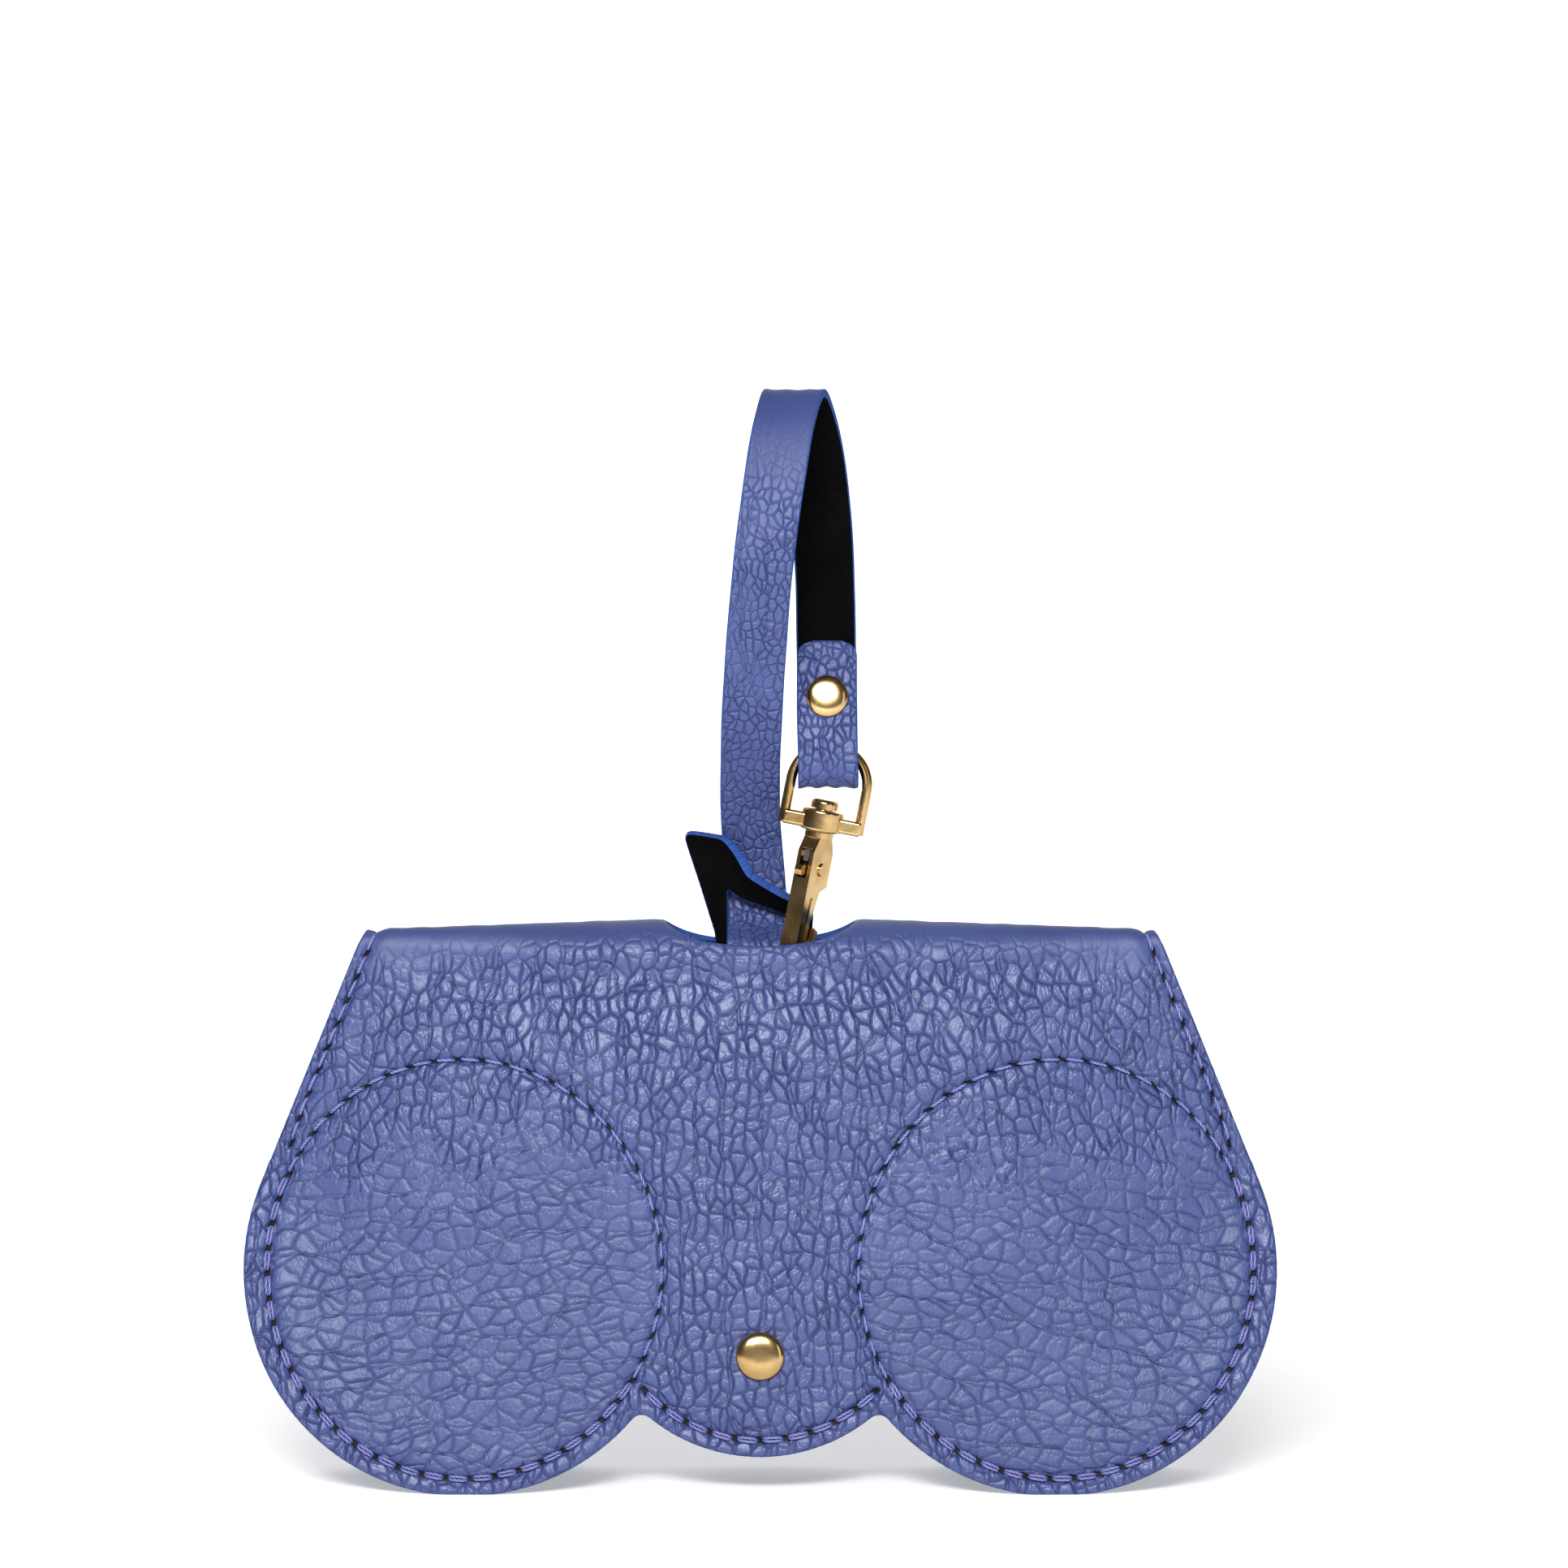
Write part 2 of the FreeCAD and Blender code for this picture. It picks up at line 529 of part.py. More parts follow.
back_cap = Part.makeCylinder(1.1, 0.3, Vec(pin_x, -HOOK_THICK / 2 - 0.31, pin_z), Vec(0, 1, 0))
gate_pin = gate_pin.fuse([pin_cap, back_cap]).removeSplitter()
leaf_outline = [
    (-2.9, -4.7), (0.6, -4.7), (0.6, -5.1), (-2.5, -5.1), (-2.5, -6.6), (-2.9, -6.6),
]
leaf = polygon([Vec(x, -0.5, z) for x, z in leaf_outline]).extrude(Vec(0, 1.0, 0))
for shape in (gate, gate_pin, leaf):
    shape.Placement = hook_place

pieces.update({
    "outer_leather": leather,
    "lining": lining,
    "pull_strap": pull_strap,
    "tongue_foot": tongue_foot,
    "tongue_tip": tongue_tip,
    "wrist_loop": wrist_loop,
    "swivel_ring": ring,
    "hook_body": hook,
    "hook_gate": gate,
    "gate_pin": gate_pin,
    "gate_spring": leaf,
})
for side_name, side in (("front", -1), ("back", 1)):
    for lens_name, sign in (("left", -1), ("right", 1)):
        pieces[f"{side_name}_{lens_name}_lens_seam"] = seam(lens_points(sign), side)
    pieces[f"{side_name}_bottom_seam"] = seam(bottom_points(), side)
for name, sign in (("left", -1), ("right", 1)):
    both = [seam(side_points(sign), side, SIDE_STITCH_GAP) for side in (-1, 1)]
    pieces[f"{name}_side_seam"] = Part.makeCompound(both)

for name, shape in pieces.items():
    save(name, shape)
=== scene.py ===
import math

import bpy
import numpy as np
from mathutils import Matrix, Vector
from mathutils.geometry import delaunay_2d_cdt
from mathutils.kdtree import KDTree


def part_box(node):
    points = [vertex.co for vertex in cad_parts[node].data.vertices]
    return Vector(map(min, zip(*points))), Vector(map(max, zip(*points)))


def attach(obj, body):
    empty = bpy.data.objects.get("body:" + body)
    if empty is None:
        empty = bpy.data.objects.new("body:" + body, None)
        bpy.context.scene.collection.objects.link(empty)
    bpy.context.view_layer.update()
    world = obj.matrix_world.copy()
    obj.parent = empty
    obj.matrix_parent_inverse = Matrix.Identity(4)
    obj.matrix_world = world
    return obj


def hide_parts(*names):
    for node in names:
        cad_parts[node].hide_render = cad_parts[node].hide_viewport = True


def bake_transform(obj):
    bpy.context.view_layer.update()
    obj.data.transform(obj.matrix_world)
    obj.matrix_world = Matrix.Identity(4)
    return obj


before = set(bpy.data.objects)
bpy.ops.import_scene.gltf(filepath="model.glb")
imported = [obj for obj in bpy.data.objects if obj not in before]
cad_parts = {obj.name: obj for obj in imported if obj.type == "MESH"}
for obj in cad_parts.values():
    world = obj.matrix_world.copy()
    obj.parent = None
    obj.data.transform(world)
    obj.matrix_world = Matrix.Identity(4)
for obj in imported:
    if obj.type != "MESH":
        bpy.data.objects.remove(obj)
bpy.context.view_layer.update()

# Soft leather glasses sleeve with a wrist strap and a swivel snap hook.
# Shapes are worked out in millimetres and go into the meshes in metres.
MM = 0.001

# ---- sizes, in millimetres ----
LEATHER = 1.6
LINING = 1.0
WALL = LEATHER + LINING
RIDGE_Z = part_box("outer_leather")[1].z / MM
RIDGE_DROP = 1.7
CORNER_X = 65.2
CORNER_RADIUS = 1.8
LOBE_X = 48.6
LOBE_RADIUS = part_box("outer_leather")[1].x / MM - LOBE_X
LOBE_Z = LOBE_RADIUS - 0.12
CENTRE_RADIUS = 29.0
CENTRE_BOTTOM = 6.4
VALLEY_RADIUS = 2.2
PINCH = 2.61
TOP_BULGE = 6.75
BOTTOM_BULGE = 15.0
BULGE_REACH = 30.0
NOTCH_HALF = 15.7
NOTCH_DEPTH = 3.5
SEAM_TOP = (64.4, 89.6)
SEAM_BOTTOM = (80.7, 53.0)
LENS_RX = 32.6
LENS_RZ = 34.0
LENS_Z = 36.6
BOTTOM_SEAM_RADIUS = CENTRE_RADIUS - 2.6
STITCH_PITCH = 4.05
STRAP = 1.5
STRAP_WIDTH = 10.0
TOP_BEND_AT = 170.0
TOP_RIPPLE_AT = 162.0
RING_BEND_AT = 250.0
RIVET_Z = 22.7


# ---- shape of the sleeve ----
def seam_distance(x, z):
    """Distance from the side seam, which holds the two walls together."""
    x = np.abs(x)
    ax, az = SEAM_TOP[0] - 4.6, SEAM_TOP[1] + 10.4
    bx, bz = SEAM_BOTTOM
    along = ((x - ax) * (bx - ax) + (z - az) * (bz - az)) / ((bx - ax) ** 2 + (bz - az) ** 2)
    along = np.clip(along, 0, 1)
    px, pz = ax + along * (bx - ax), az + along * (bz - az)
    inward = (x - px) * (bz - az) - (z - pz) * (bx - ax)
    distance = np.hypot(x - px, z - pz)
    return np.where((inward > 0) | (along >= 1), distance, 0.0)


def half_depth(x, z):
    """Half thickness of the sleeve at a point of its front view."""
    drop = np.maximum(0.0, 1 - np.maximum(z, 0.0) / 84.0) ** 0.8
    swell = TOP_BULGE + (BOTTOM_BULGE - TOP_BULGE) * drop
    reach = 1 - np.exp(-((seam_distance(x, z) / BULGE_REACH) ** 1.3))
    return PINCH + swell * reach


def ridge_z(x):
    out = np.maximum(0.0, np.abs(x) - NOTCH_HALF) / (CORNER_X - NOTCH_HALF)
    return RIDGE_Z - RIDGE_DROP * out


def fold_radius(x):
    return half_depth(x, RIDGE_Z - 9.5)


def sheet_height(x, s):
    """Height of a point of the leather: s runs over the fold, below zero in front."""
    radius = fold_radius(x)
    quarter = radius * math.pi / 2
    away = np.abs(s)
    on_fold = radius * np.cos(np.minimum(away / radius, math.pi / 2))
    return ridge_z(x) - radius + on_fold - np.maximum(away - quarter, 0)


def sheet_point(x, s):
    z = sheet_height(x, s)
    turn = np.sin(np.minimum(np.abs(s) / fold_radius(x), math.pi / 2))
    return np.stack([x, np.sign(s) * half_depth(x, z) * turn, z], axis=-1)


def soft_point(x, s):
    """The leather as it hangs: it settles below the fold and swells and sags a little."""
    points = sheet_point(x, s)
    away = np.abs(s)
    quarter = fold_radius(x) * math.pi / 2
    z = sheet_height(x, s)
    seam = seam_distance(x, z)
    loose = 1 - np.exp(-((seam / 12.0) ** 2))
    settle = -1.9 * np.exp(-(((away - quarter + 1.5) / 9.0) ** 2)) * np.clip(away / quarter, 0, 1) ** 2
    slow = 0.40 * wave(x / 9.0, s / 13.0, 1.0) + 0.12 * wave(x / 3.4, s / 4.2, 2.0)
    slow = slow * np.clip((z - 5.0) / 12.0, 0, 1) * np.clip(away / 9.0, 0, 1)
    shift = loose * (settle + slow)
    above = np.clip((z - ridge_z(x) + fold_radius(x)) / fold_radius(x), 0, 1)
    side = np.sign(s)
    points[..., 1] += side * shift * np.sqrt(1 - above ** 2 * 0.999)
    points[..., 2] += shift * above
    return points


def wave(a, b, seed):
    """A smooth, even mix of waves between -1 and 1."""
    total = 0
    for i in range(4):
        angle = seed * 1.7 + i * 2.1
        size = 1.0 + 0.37 * i
        total = total + np.sin((a * math.cos(angle) + b * math.sin(angle)) * size + seed * (3.1 + i))
    return total / 4


def sheet_s(x, z, side):
    """The leather's own coordinate for a point of the front view; side is -1 in front."""
    radius = fold_radius(x)
    above = np.clip((z - ridge_z(x) + radius) / radius, 0, 1)
    below = np.maximum(ridge_z(x) - radius - z, 0)
    return side * (radius * np.arccos(above) + below)


def outline():
    """Right half of the front view, from the fold's end round to the middle of the bottom."""
    corner = np.array([CORNER_X, RIDGE_Z - RIDGE_DROP + 0.4])
    lobe = np.array([LOBE_X, LOBE_Z])
    centre = np.array([0, CENTRE_BOTTOM + CENTRE_RADIUS])
    to_lobe = lobe - corner
    away = np.hypot(*to_lobe)
    angle = math.atan2(to_lobe[1], to_lobe[0]) + math.asin(LOBE_RADIUS / away)
    side = np.array([math.cos(angle), math.sin(angle)])
    side_end = corner + side * math.sqrt(away ** 2 - LOBE_RADIUS ** 2)
    top = np.array([-(CORNER_X - NOTCH_HALF), RIDGE_DROP])
    top = top / np.hypot(*top)
    half = math.acos(side @ top) / 2
    middle = (side + top) / np.hypot(*(side + top))
    hub = corner + middle * CORNER_RADIUS / math.sin(half)
    unit = (lobe - centre) / np.hypot(*(lobe - centre))
    r_lobe, r_centre = LOBE_RADIUS + VALLEY_RADIUS, CENTRE_RADIUS + VALLEY_RADIUS
    gap = np.hypot(*(lobe - centre))
    along = (r_centre ** 2 - r_lobe ** 2 + gap ** 2) / (2 * gap)
    across = np.array([unit[1], -unit[0]])
    valley = centre + unit * along + across * math.sqrt(r_centre ** 2 - along ** 2)

    def bearing(point, hub_point):
        return math.atan2(point[1] - hub_point[1], point[0] - hub_point[0])

    def arc(hub_point, radius, start, end):
        count = max(3, int(abs(end - start) * radius / 0.6))
        turn = np.linspace(start, end, count, endpoint=False)
        return np.stack([hub_point[0] + radius * np.cos(turn), hub_point[1] + radius * np.sin(turn)], -1)

    back = CORNER_RADIUS / math.tan(half)
    corner_side = corner + side * back
    straight = np.linspace(corner_side, side_end, 70, endpoint=False)
    lobe_end = bearing(valley, lobe)
    lobe_end = lobe_end - 2 * math.pi * (lobe_end > 0)
    parts = [
        arc(hub, CORNER_RADIUS, bearing(corner + top * back, hub), bearing(corner_side, hub)),
        straight,
        arc(lobe, LOBE_RADIUS, bearing(side_end, lobe), lobe_end),
        arc(valley, VALLEY_RADIUS, bearing(lobe, valley), bearing(centre, valley)),
        arc(centre, CENTRE_RADIUS, bearing(valley, centre), -math.pi / 2),
    ]
    points = np.concatenate(parts)
    points = points[points[:, 1] < ridge_z(points[:, 0]) - 0.02]
    return points[points[:, 0] > 0.2]


# ---- flat patterns ----
def inside(points, loop):
    """True where a point lies in a closed loop."""
    x, y = points[:, 0][:, None], points[:, 1][:, None]
    ax, ay = loop[:, 0][None], loop[:, 1][None]
    bx, by = np.roll(loop[:, 0], -1)[None], np.roll(loop[:, 1], -1)[None]
    crosses = (ay > y) != (by > y)
    level = np.where(by == ay, 1e-9, by - ay)
    return (crosses & (x < (bx - ax) * (y - ay) / level + ax)).sum(1) % 2 == 1


def loop_normals(loop):
    """Unit vectors that point into a counter-clockwise loop, one at each point."""
    ahead = np.roll(loop, -1, 0) - np.roll(loop, 1, 0)
    ahead = ahead / np.maximum(np.hypot(ahead[:, 0], ahead[:, 1]), 1e-9)[:, None]
    return np.stack([-ahead[:, 1], ahead[:, 0]], -1)


def turned(loop, counter_clockwise=True):
    area = (loop[:, 0] * np.roll(loop[:, 1], -1) - np.roll(loop[:, 0], -1) * loop[:, 1]).sum()
    return loop if (area > 0) == counter_clockwise else loop[::-1]


def triangulate(outer, holes, extra, spacing, rings=(0.3, 0.75)):
    """Points and triangles that fill a flat pattern. The loops come first among the points."""
    loops = [turned(outer)] + [turned(hole, False) for hole in holes]
    fixed, starts = [], []
    for loop in loops:
        starts.append(sum(len(part) for part in fixed))
        fixed.append(loop)
    beside = []
    for loop in loops:
        for ring in rings:
            beside.append(loop + loop_normals(loop) * ring)
    near = np.concatenate(fixed)
    candidates = np.concatenate(beside + ([extra] if len(extra) else []))
    low, high = loops[0].min(0), loops[0].max(0)
    row = spacing * math.sqrt(3) / 2
    hexes = []
    for i, level in enumerate(np.arange(low[1], high[1], row)):
        xs = np.arange(low[0] + (i % 2) * spacing / 2, high[0], spacing)
        hexes.append(np.stack([xs, np.full(len(xs), level)], -1))
    hexes = np.concatenate(hexes)

    def keep(points, others, distance):
        tree = KDTree(len(others))
        for i, (x, y) in enumerate(others):
            tree.insert((x, y, 0), i)
        tree.balance()
        far = np.array([tree.find((x, y, 0))[2] > distance for x, y in points])
        points = points[far]
        ok = inside(points, loops[0])
        for hole in loops[1:]:
            ok &= ~inside(points, hole)
        return points[ok]

    candidates = keep(candidates, near, 0.2)
    one_each = {}
    for x, y in candidates:
        one_each.setdefault((round(x / 0.13), round(y / 0.13)), (x, y))
    candidates = np.array(list(one_each.values()))
    hexes = keep(hexes, np.concatenate([near, candidates]), spacing * 0.55)
    points = np.concatenate([near, candidates, hexes])
    edges = []
    for start, loop in zip(starts, loops):
        count = len(loop)
        edges += [(start + i, start + (i + 1) % count) for i in range(count)]
    result = delaunay_2d_cdt([Vector(p) for p in points], edges, [], 0, 1e-7)
    flat = np.array([tuple(p) for p in result[0]])
    triangles = np.array([tuple(f) for f in result[2]])
    middle = flat[triangles].mean(1)
    ok = inside(middle, loops[0])
    for hole in loops[1:]:
        ok &= ~inside(middle, hole)
    loop_ids = [list(range(start, start + len(loop))) for start, loop in zip(starts, loops)]
    return flat, triangles[ok], loop_ids


def on_sheet(flat):
    """Flat pattern points as the 3-D vectors that the materials read."""
    return np.stack([flat[:, 0], flat[:, 1], np.zeros(len(flat))], -1)


def surface_normals(place, flat, step=0.05):
    a, b = flat[:, 0], flat[:, 1]
    du = place(a + step, b) - place(a - step, b)
    dv = place(a, b + step) - place(a, b - step)
    normal = np.cross(du, dv)
    return normal / np.maximum(np.linalg.norm(normal, axis=1), 1e-12)[:, None]


def make_mesh(name, verts, faces, materials, face_materials, values=None):
    """A smooth-shaded object from points in millimetres, with values kept at its points."""
    mesh = bpy.data.meshes.new(name)
    points = [tuple(v) for v in np.asarray(verts) * MM]
    mesh.from_pydata(points, [], [tuple(int(i) for i in f) for f in faces])
    for material in materials:
        mesh.materials.append(material)
    mesh.polygons.foreach_set("material_index", np.asarray(face_materials, dtype=np.int32))
    mesh.polygons.foreach_set("use_smooth", np.ones(len(mesh.polygons), dtype=bool))
    for key, value in (values or {}).items():
        value = np.asarray(value, dtype=np.float32)
        if value.ndim == 2:
            attribute = mesh.attributes.new(key, "FLOAT_VECTOR", "POINT")
            attribute.data.foreach_set("vector", value.ravel())
        else:
            attribute = mesh.attributes.new(key, "FLOAT", "POINT")
            attribute.data.foreach_set("value", value)
    mesh.validate()
    mesh.update()
    obj = bpy.data.objects.new(name, mesh)
    bpy.context.scene.collection.objects.link(obj)
    return obj


def thick_sheet(name, pattern, place, relief, thickness, materials, values, depth=0.0, fray=0.0):
    """A sheet of leather: its two faces and a rounded cut edge all round."""
    flat, triangles, loops = pattern
    points = place(flat[:, 0], flat[:, 1])
    normal = surface_normals(place, flat)
    count = len(flat)
    outer = points + normal * (relief - depth)[:, None]
    inner = points - normal * (depth + thickness)
    verts = [outer, inner]
    faces = [list(map(tuple, triangles)), list(map(tuple, triangles[:, ::-1] + count))]
    kinds = [np.zeros(len(triangles), int), np.ones(len(triangles), int)]
    source = list(range(count)) * 2
    start = 2 * count
    rounds = ((0.12, 0.07), (0.32, 0.14), (0.6, 0.15), (0.86, 0.08))
    for loop in loops:
        ids = np.array(loop)
        flat_loop = flat[ids]
        out = -loop_normals(flat_loop)
        step = 0.02
        beyond = place(flat_loop[:, 0] + out[:, 0] * step, flat_loop[:, 1] + out[:, 1] * step)
        away = beyond - points[ids]
        away = away / np.maximum(np.linalg.norm(away, axis=1), 1e-12)[:, None]
        rings = [ids]
        for number, (share, bulge) in enumerate(rounds):
            frayed = bulge + fray * np.sin(np.arange(len(ids)) * (2.3 + number) + number * 1.7)
            ring = outer[ids] * (1 - share) + inner[ids] * share + away * frayed[:, None]
            verts.append(ring)
            rings.append(np.arange(start, start + len(ids)))
            source += list(ids)
            start += len(ids)
        rings.append(ids + count)
        for a, b in zip(rings[:-1], rings[1:]):
            quads = np.stack([a, b, np.roll(b, -1), np.roll(a, -1)], -1)
            faces.append(list(map(tuple, quads)))
            kinds.append(np.full(len(quads), 2))
    kept = {key: np.asarray(value)[np.array(source)] for key, value in values.items()}
    all_faces = [f for group in faces for f in group]
    return make_mesh(name, np.concatenate(verts), all_faces, materials, np.concatenate(kinds), kept)


# ---- seams: where the needle went ----
def resample(points, pitch, closed=False):
    """Even steps along a line: positions and unit directions."""
    points = np.asarray(points, float)
    if closed:
        points = np.concatenate([points, points[:1]])
    lengths = np.hypot(*np.diff(points, axis=0).T)
    total = np.concatenate([[0], np.cumsum(lengths)])
    count = max(2, round(total[-1] / pitch))
    at = np.linspace(0, total[-1], count + (not closed), endpoint=not closed)

    def along(distance):
        return np.stack([np.interp(distance, total, points[:, i]) for i in range(2)], -1)

    ahead = along(np.minimum(at + 0.4, total[-1])) - along(np.maximum(at - 0.4, 0))
    return along(at), ahead / np.hypot(ahead[:, 0], ahead[:, 1])[:, None]


def smooth_line(points, steps=12):
    """A Catmull-Rom curve through given points of any dimension."""
    points = np.asarray(points, float)
    ends = np.concatenate([[2 * points[0] - points[1]], points, [2 * points[-1] - points[-2]]])
    out = []
    for a, b, c, d in zip(ends[:-3], ends[1:-2], ends[2:-1], ends[3:]):
        for t in np.arange(steps) / steps:
            out.append(0.5 * (2 * b + (c - a) * t + (2 * a - 5 * b + 4 * c - d) * t ** 2
                              + (3 * b - a - 3 * c + d) * t ** 3))
    out.append(points[-1])
    return np.array(out)


def lens_line(sign):
    turn = np.linspace(0, 2 * math.pi, 240, endpoint=False) + math.radians(212)
    return np.stack([sign * (LOBE_X + 0.1 - LENS_RX * np.cos(turn + math.pi)),
                     LENS_Z - LENS_RZ * np.sin(turn + math.pi)], -1)


def side_line(sign):
    line = smooth_line([(63.4, 91.6), (67.9, 80.8), (75.0, 63.9), (77.6, 56.4)])
    return line * np.array([sign, 1])


def bottom_line():
    turn = np.radians(np.linspace(-90 - 45.5, -90 + 45.5, 90))
    return np.stack([BOTTOM_SEAM_RADIUS * np.cos(turn),
                     CENTRE_BOTTOM + CENTRE_RADIUS + BOTTOM_SEAM_RADIUS * np.sin(turn)], -1)


def shared(x, z):
    """Near 1 where the lens seam and the edge seam run together, which doubles the thread."""
    away = np.degrees(np.arctan2(z - LENS_Z, (np.abs(x) - LOBE_X)))
    return (away < 32) & (away > -148)


SEAMS = {
    "left_lens_seam": (lens_line(-1), True),
    "right_lens_seam": (lens_line(1), True),
    "bottom_seam": (bottom_line(), False),
    "left_side_seam": (side_line(-1), False),
    "right_side_seam": (side_line(1), False),
}
HOLES = {}
for seam_name, (line, closed) in SEAMS.items():
    centres, ways = resample(line, STITCH_PITCH, closed)
    doubled = np.full(len(centres), "bottom" in seam_name)
    if "lens" in seam_name:
        doubled = shared(centres[:, 0], centres[:, 1])
    HOLES[seam_name] = (centres, ways, doubled)


def capsule(distance, half, reach):
    """A point on the outline of a slot, by distance round it."""
    end = math.pi * reach
    if distance < 2 * half:
        return distance - half, -reach
    distance -= 2 * half
    if distance < end:
        turn = distance / reach - math.pi / 2
        return half + reach * math.cos(turn), reach * math.sin(turn)
    distance -= end
    if distance < 2 * half:
        return half - distance, reach
    turn = (distance - 2 * half) / max(reach, 1e-6) + math.pi / 2
    return -half + reach * math.cos(turn), reach * math.sin(turn)


class Relief:
    """Heights of the leather's outer face above its plain shape, in sheet coordinates."""

    def __init__(self, loop, notch):
        self.edge = self.tree(np.concatenate([loop, notch]))
        lines, slots, slot_info = [], [], []
        for line, closed in SEAMS.values():
            dense, _ = resample(line, 0.35, closed)
            for side in (-1, 1):
                lines.append(np.stack([dense[:, 0], sheet_s(dense[:, 0], dense[:, 1], side)], -1))
        for centres, ways, doubled in HOLES.values():
            for side in (-1, 1):
                for (x, z), (dx, dz), double in zip(centres, ways, doubled):
                    slots.append((x, float(sheet_s(np.array(x), np.array(z), side))))
                    angle = math.atan2(-side * dz, dx) + math.radians(10) * side
                    slot_info.append((math.cos(angle), math.sin(angle), 0.50 if double else 0.66,
                                      0.42 if double else 0.26))
        self.seams = self.tree(np.concatenate(lines))
        self.slots, self.slot_info = np.array(slots), np.array(slot_info)
        self.slot_tree = self.tree(self.slots)

    @staticmethod
    def tree(points):
        tree = KDTree(len(points))
        for i, (x, y) in enumerate(points):
            tree.insert((x, y, 0), i)
        tree.balance()
        return tree

    def slot_points(self):
        """Extra points so that the mesh can follow each needle slot."""
        out = []
        for (x, s), (c, d, half, width) in zip(self.slots, self.slot_info):
            rings = ((0.0, 0.30), (width * 0.85, 0.28), (width * 1.5, 0.34), (width * 2.0 + 0.4, 0.55))
            for reach, step in rings:
                around = 4 * half + 2 * math.pi * reach
                count = max(4, round(around / step))
                for i in range(count):
                    u, v = capsule(i / count * around, half, reach)
                    out.append((x + u * c - v * d, s + u * d + v * c))
        return np.array(out)

    def pits(self, flat):
        found = [self.slot_tree.find((x, s, 0)) for x, s in flat]
        index = np.array([f[1] for f in found])
        offset = flat - self.slots[index]
        c, d, half, width = self.slot_info[index].T
        u = offset[:, 0] * c + offset[:, 1] * d
        v = -offset[:, 0] * d + offset[:, 1] * c
        beyond = np.maximum(np.abs(u) - half, 0)
        return np.hypot(beyond, v) / width

    def __call__(self, flat):
        to_seam = np.array([self.seams.find((x, s, 0))[2] for x, s in flat])
        to_edge = np.array([self.edge.find((x, s, 0))[2] for x, s in flat])
        pit = self.pits(flat)
        x, s = flat.T
        groove = -0.34 * np.exp(-(to_seam / 1.05) ** 2) + 0.10 * np.exp(-((to_seam - 2.4) / 1.2) ** 2)
        pull = -0.85 * np.exp(-(pit / 1.1) ** 4) - 0.16 * np.exp(-(pit / 3.4) ** 2)
        rim = -0.30 * np.exp(-to_edge / 0.45)
        pucker = 0.07 * np.exp(-((to_seam - 1.8) / 1.6) ** 2) * wave(x / 0.9, s / 0.9, 3.0)
        calm = 1 - np.exp(-(to_seam / 5.0) ** 2)
        ripple = 0.09 * calm * wave(x / 1.4, s / 2.3, 4.0) * np.minimum(to_edge / 5.0, 1)
        height = groove + pull + rim + pucker + ripple
        return height, to_edge, pit


# ---- sleeve ----
def sleeve_loop(short=0.0):
    """Edge of the unfolded sleeve and of its notch, in sheet coordinates."""
    half = outline()
    front = np.stack([half[:, 0], sheet_s(half[:, 0], half[:, 1], -1)], -1)
    flip = np.array([1, -1])
    mirror = np.array([-1, 1])
    bottom = sheet_s(np.array([0.0]), np.array([CENTRE_BOTTOM]), -1)[0]
    corner = front[0, 0] - 0.02
    loop = np.concatenate([
        [[corner, 0]], front, [[0, bottom]], (front * mirror)[::-1], [[-corner, 0]],
        front * mirror * flip, [[0, -bottom]], (front * flip)[::-1],
    ])
    loop = turned(loop)
    radius = float(fold_radius(np.array(0.0)))
    tilt = math.tan(math.acos((radius - NOTCH_DEPTH) / radius))
    turn = np.linspace(0, 2 * math.pi, 96, endpoint=False)
    x = NOTCH_HALF * np.cos(turn)
    notch = np.stack([x, fold_radius(x) * np.arctan(tilt * np.sin(turn))], -1)
    if short:
        loop = loop + loop_normals(loop) * short
        notch = notch - loop_normals(turned(notch)) * short
    return loop, notch


def lens_mask(x, s):
    z = sheet_height(x, s)
    away = np.hypot((np.abs(x) - LOBE_X) / LENS_RX, (z - LENS_Z) / LENS_RZ)
    drop = np.clip((66 - z) / 26, 0, 1)
    return np.clip((1.05 - away) / 0.12, 0, 1) * drop


def build_sleeve(leather_materials, lining, quick):
    """The folded leather, with its needle slots, and the lining inside it."""
    loop, notch = sleeve_loop()
    relief = Relief(loop, notch)
    spacing = 1.6 if quick else 0.86
    pattern = triangulate(loop, [notch], relief.slot_points(), spacing)
    flat = pattern[0]
    height, to_edge, pit = relief(flat)
    values = {
        "sheet": on_sheet(flat),
        "lens": lens_mask(flat[:, 0], flat[:, 1]),
        "pit": np.exp(-(pit / 1.12) ** 6),
        "edge": np.exp(-to_edge / 2.2),
        "ridge": np.clip(np.abs(flat[:, 1]) / 12.0, 0, 1),
    }
    outer = thick_sheet("outer_leather_sheet", pattern, soft_point, height, LEATHER,
                        leather_materials, values, fray=0.02)
    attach(outer, "sleeve")
    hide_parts("outer_leather")

    loop, notch = sleeve_loop(0.45)
    pattern = triangulate(loop, [notch], np.zeros((0, 2)), 2.4, rings=(0.8,))
    flat = pattern[0]
    values = {"sheet": on_sheet(flat)}
    inner = thick_sheet("lining_sheet", pattern, soft_point, np.zeros(len(flat)), LINING - 0.06,
                        [lining] * 3, values, depth=LEATHER + 0.03)
    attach(inner, "sleeve")
    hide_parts("lining")


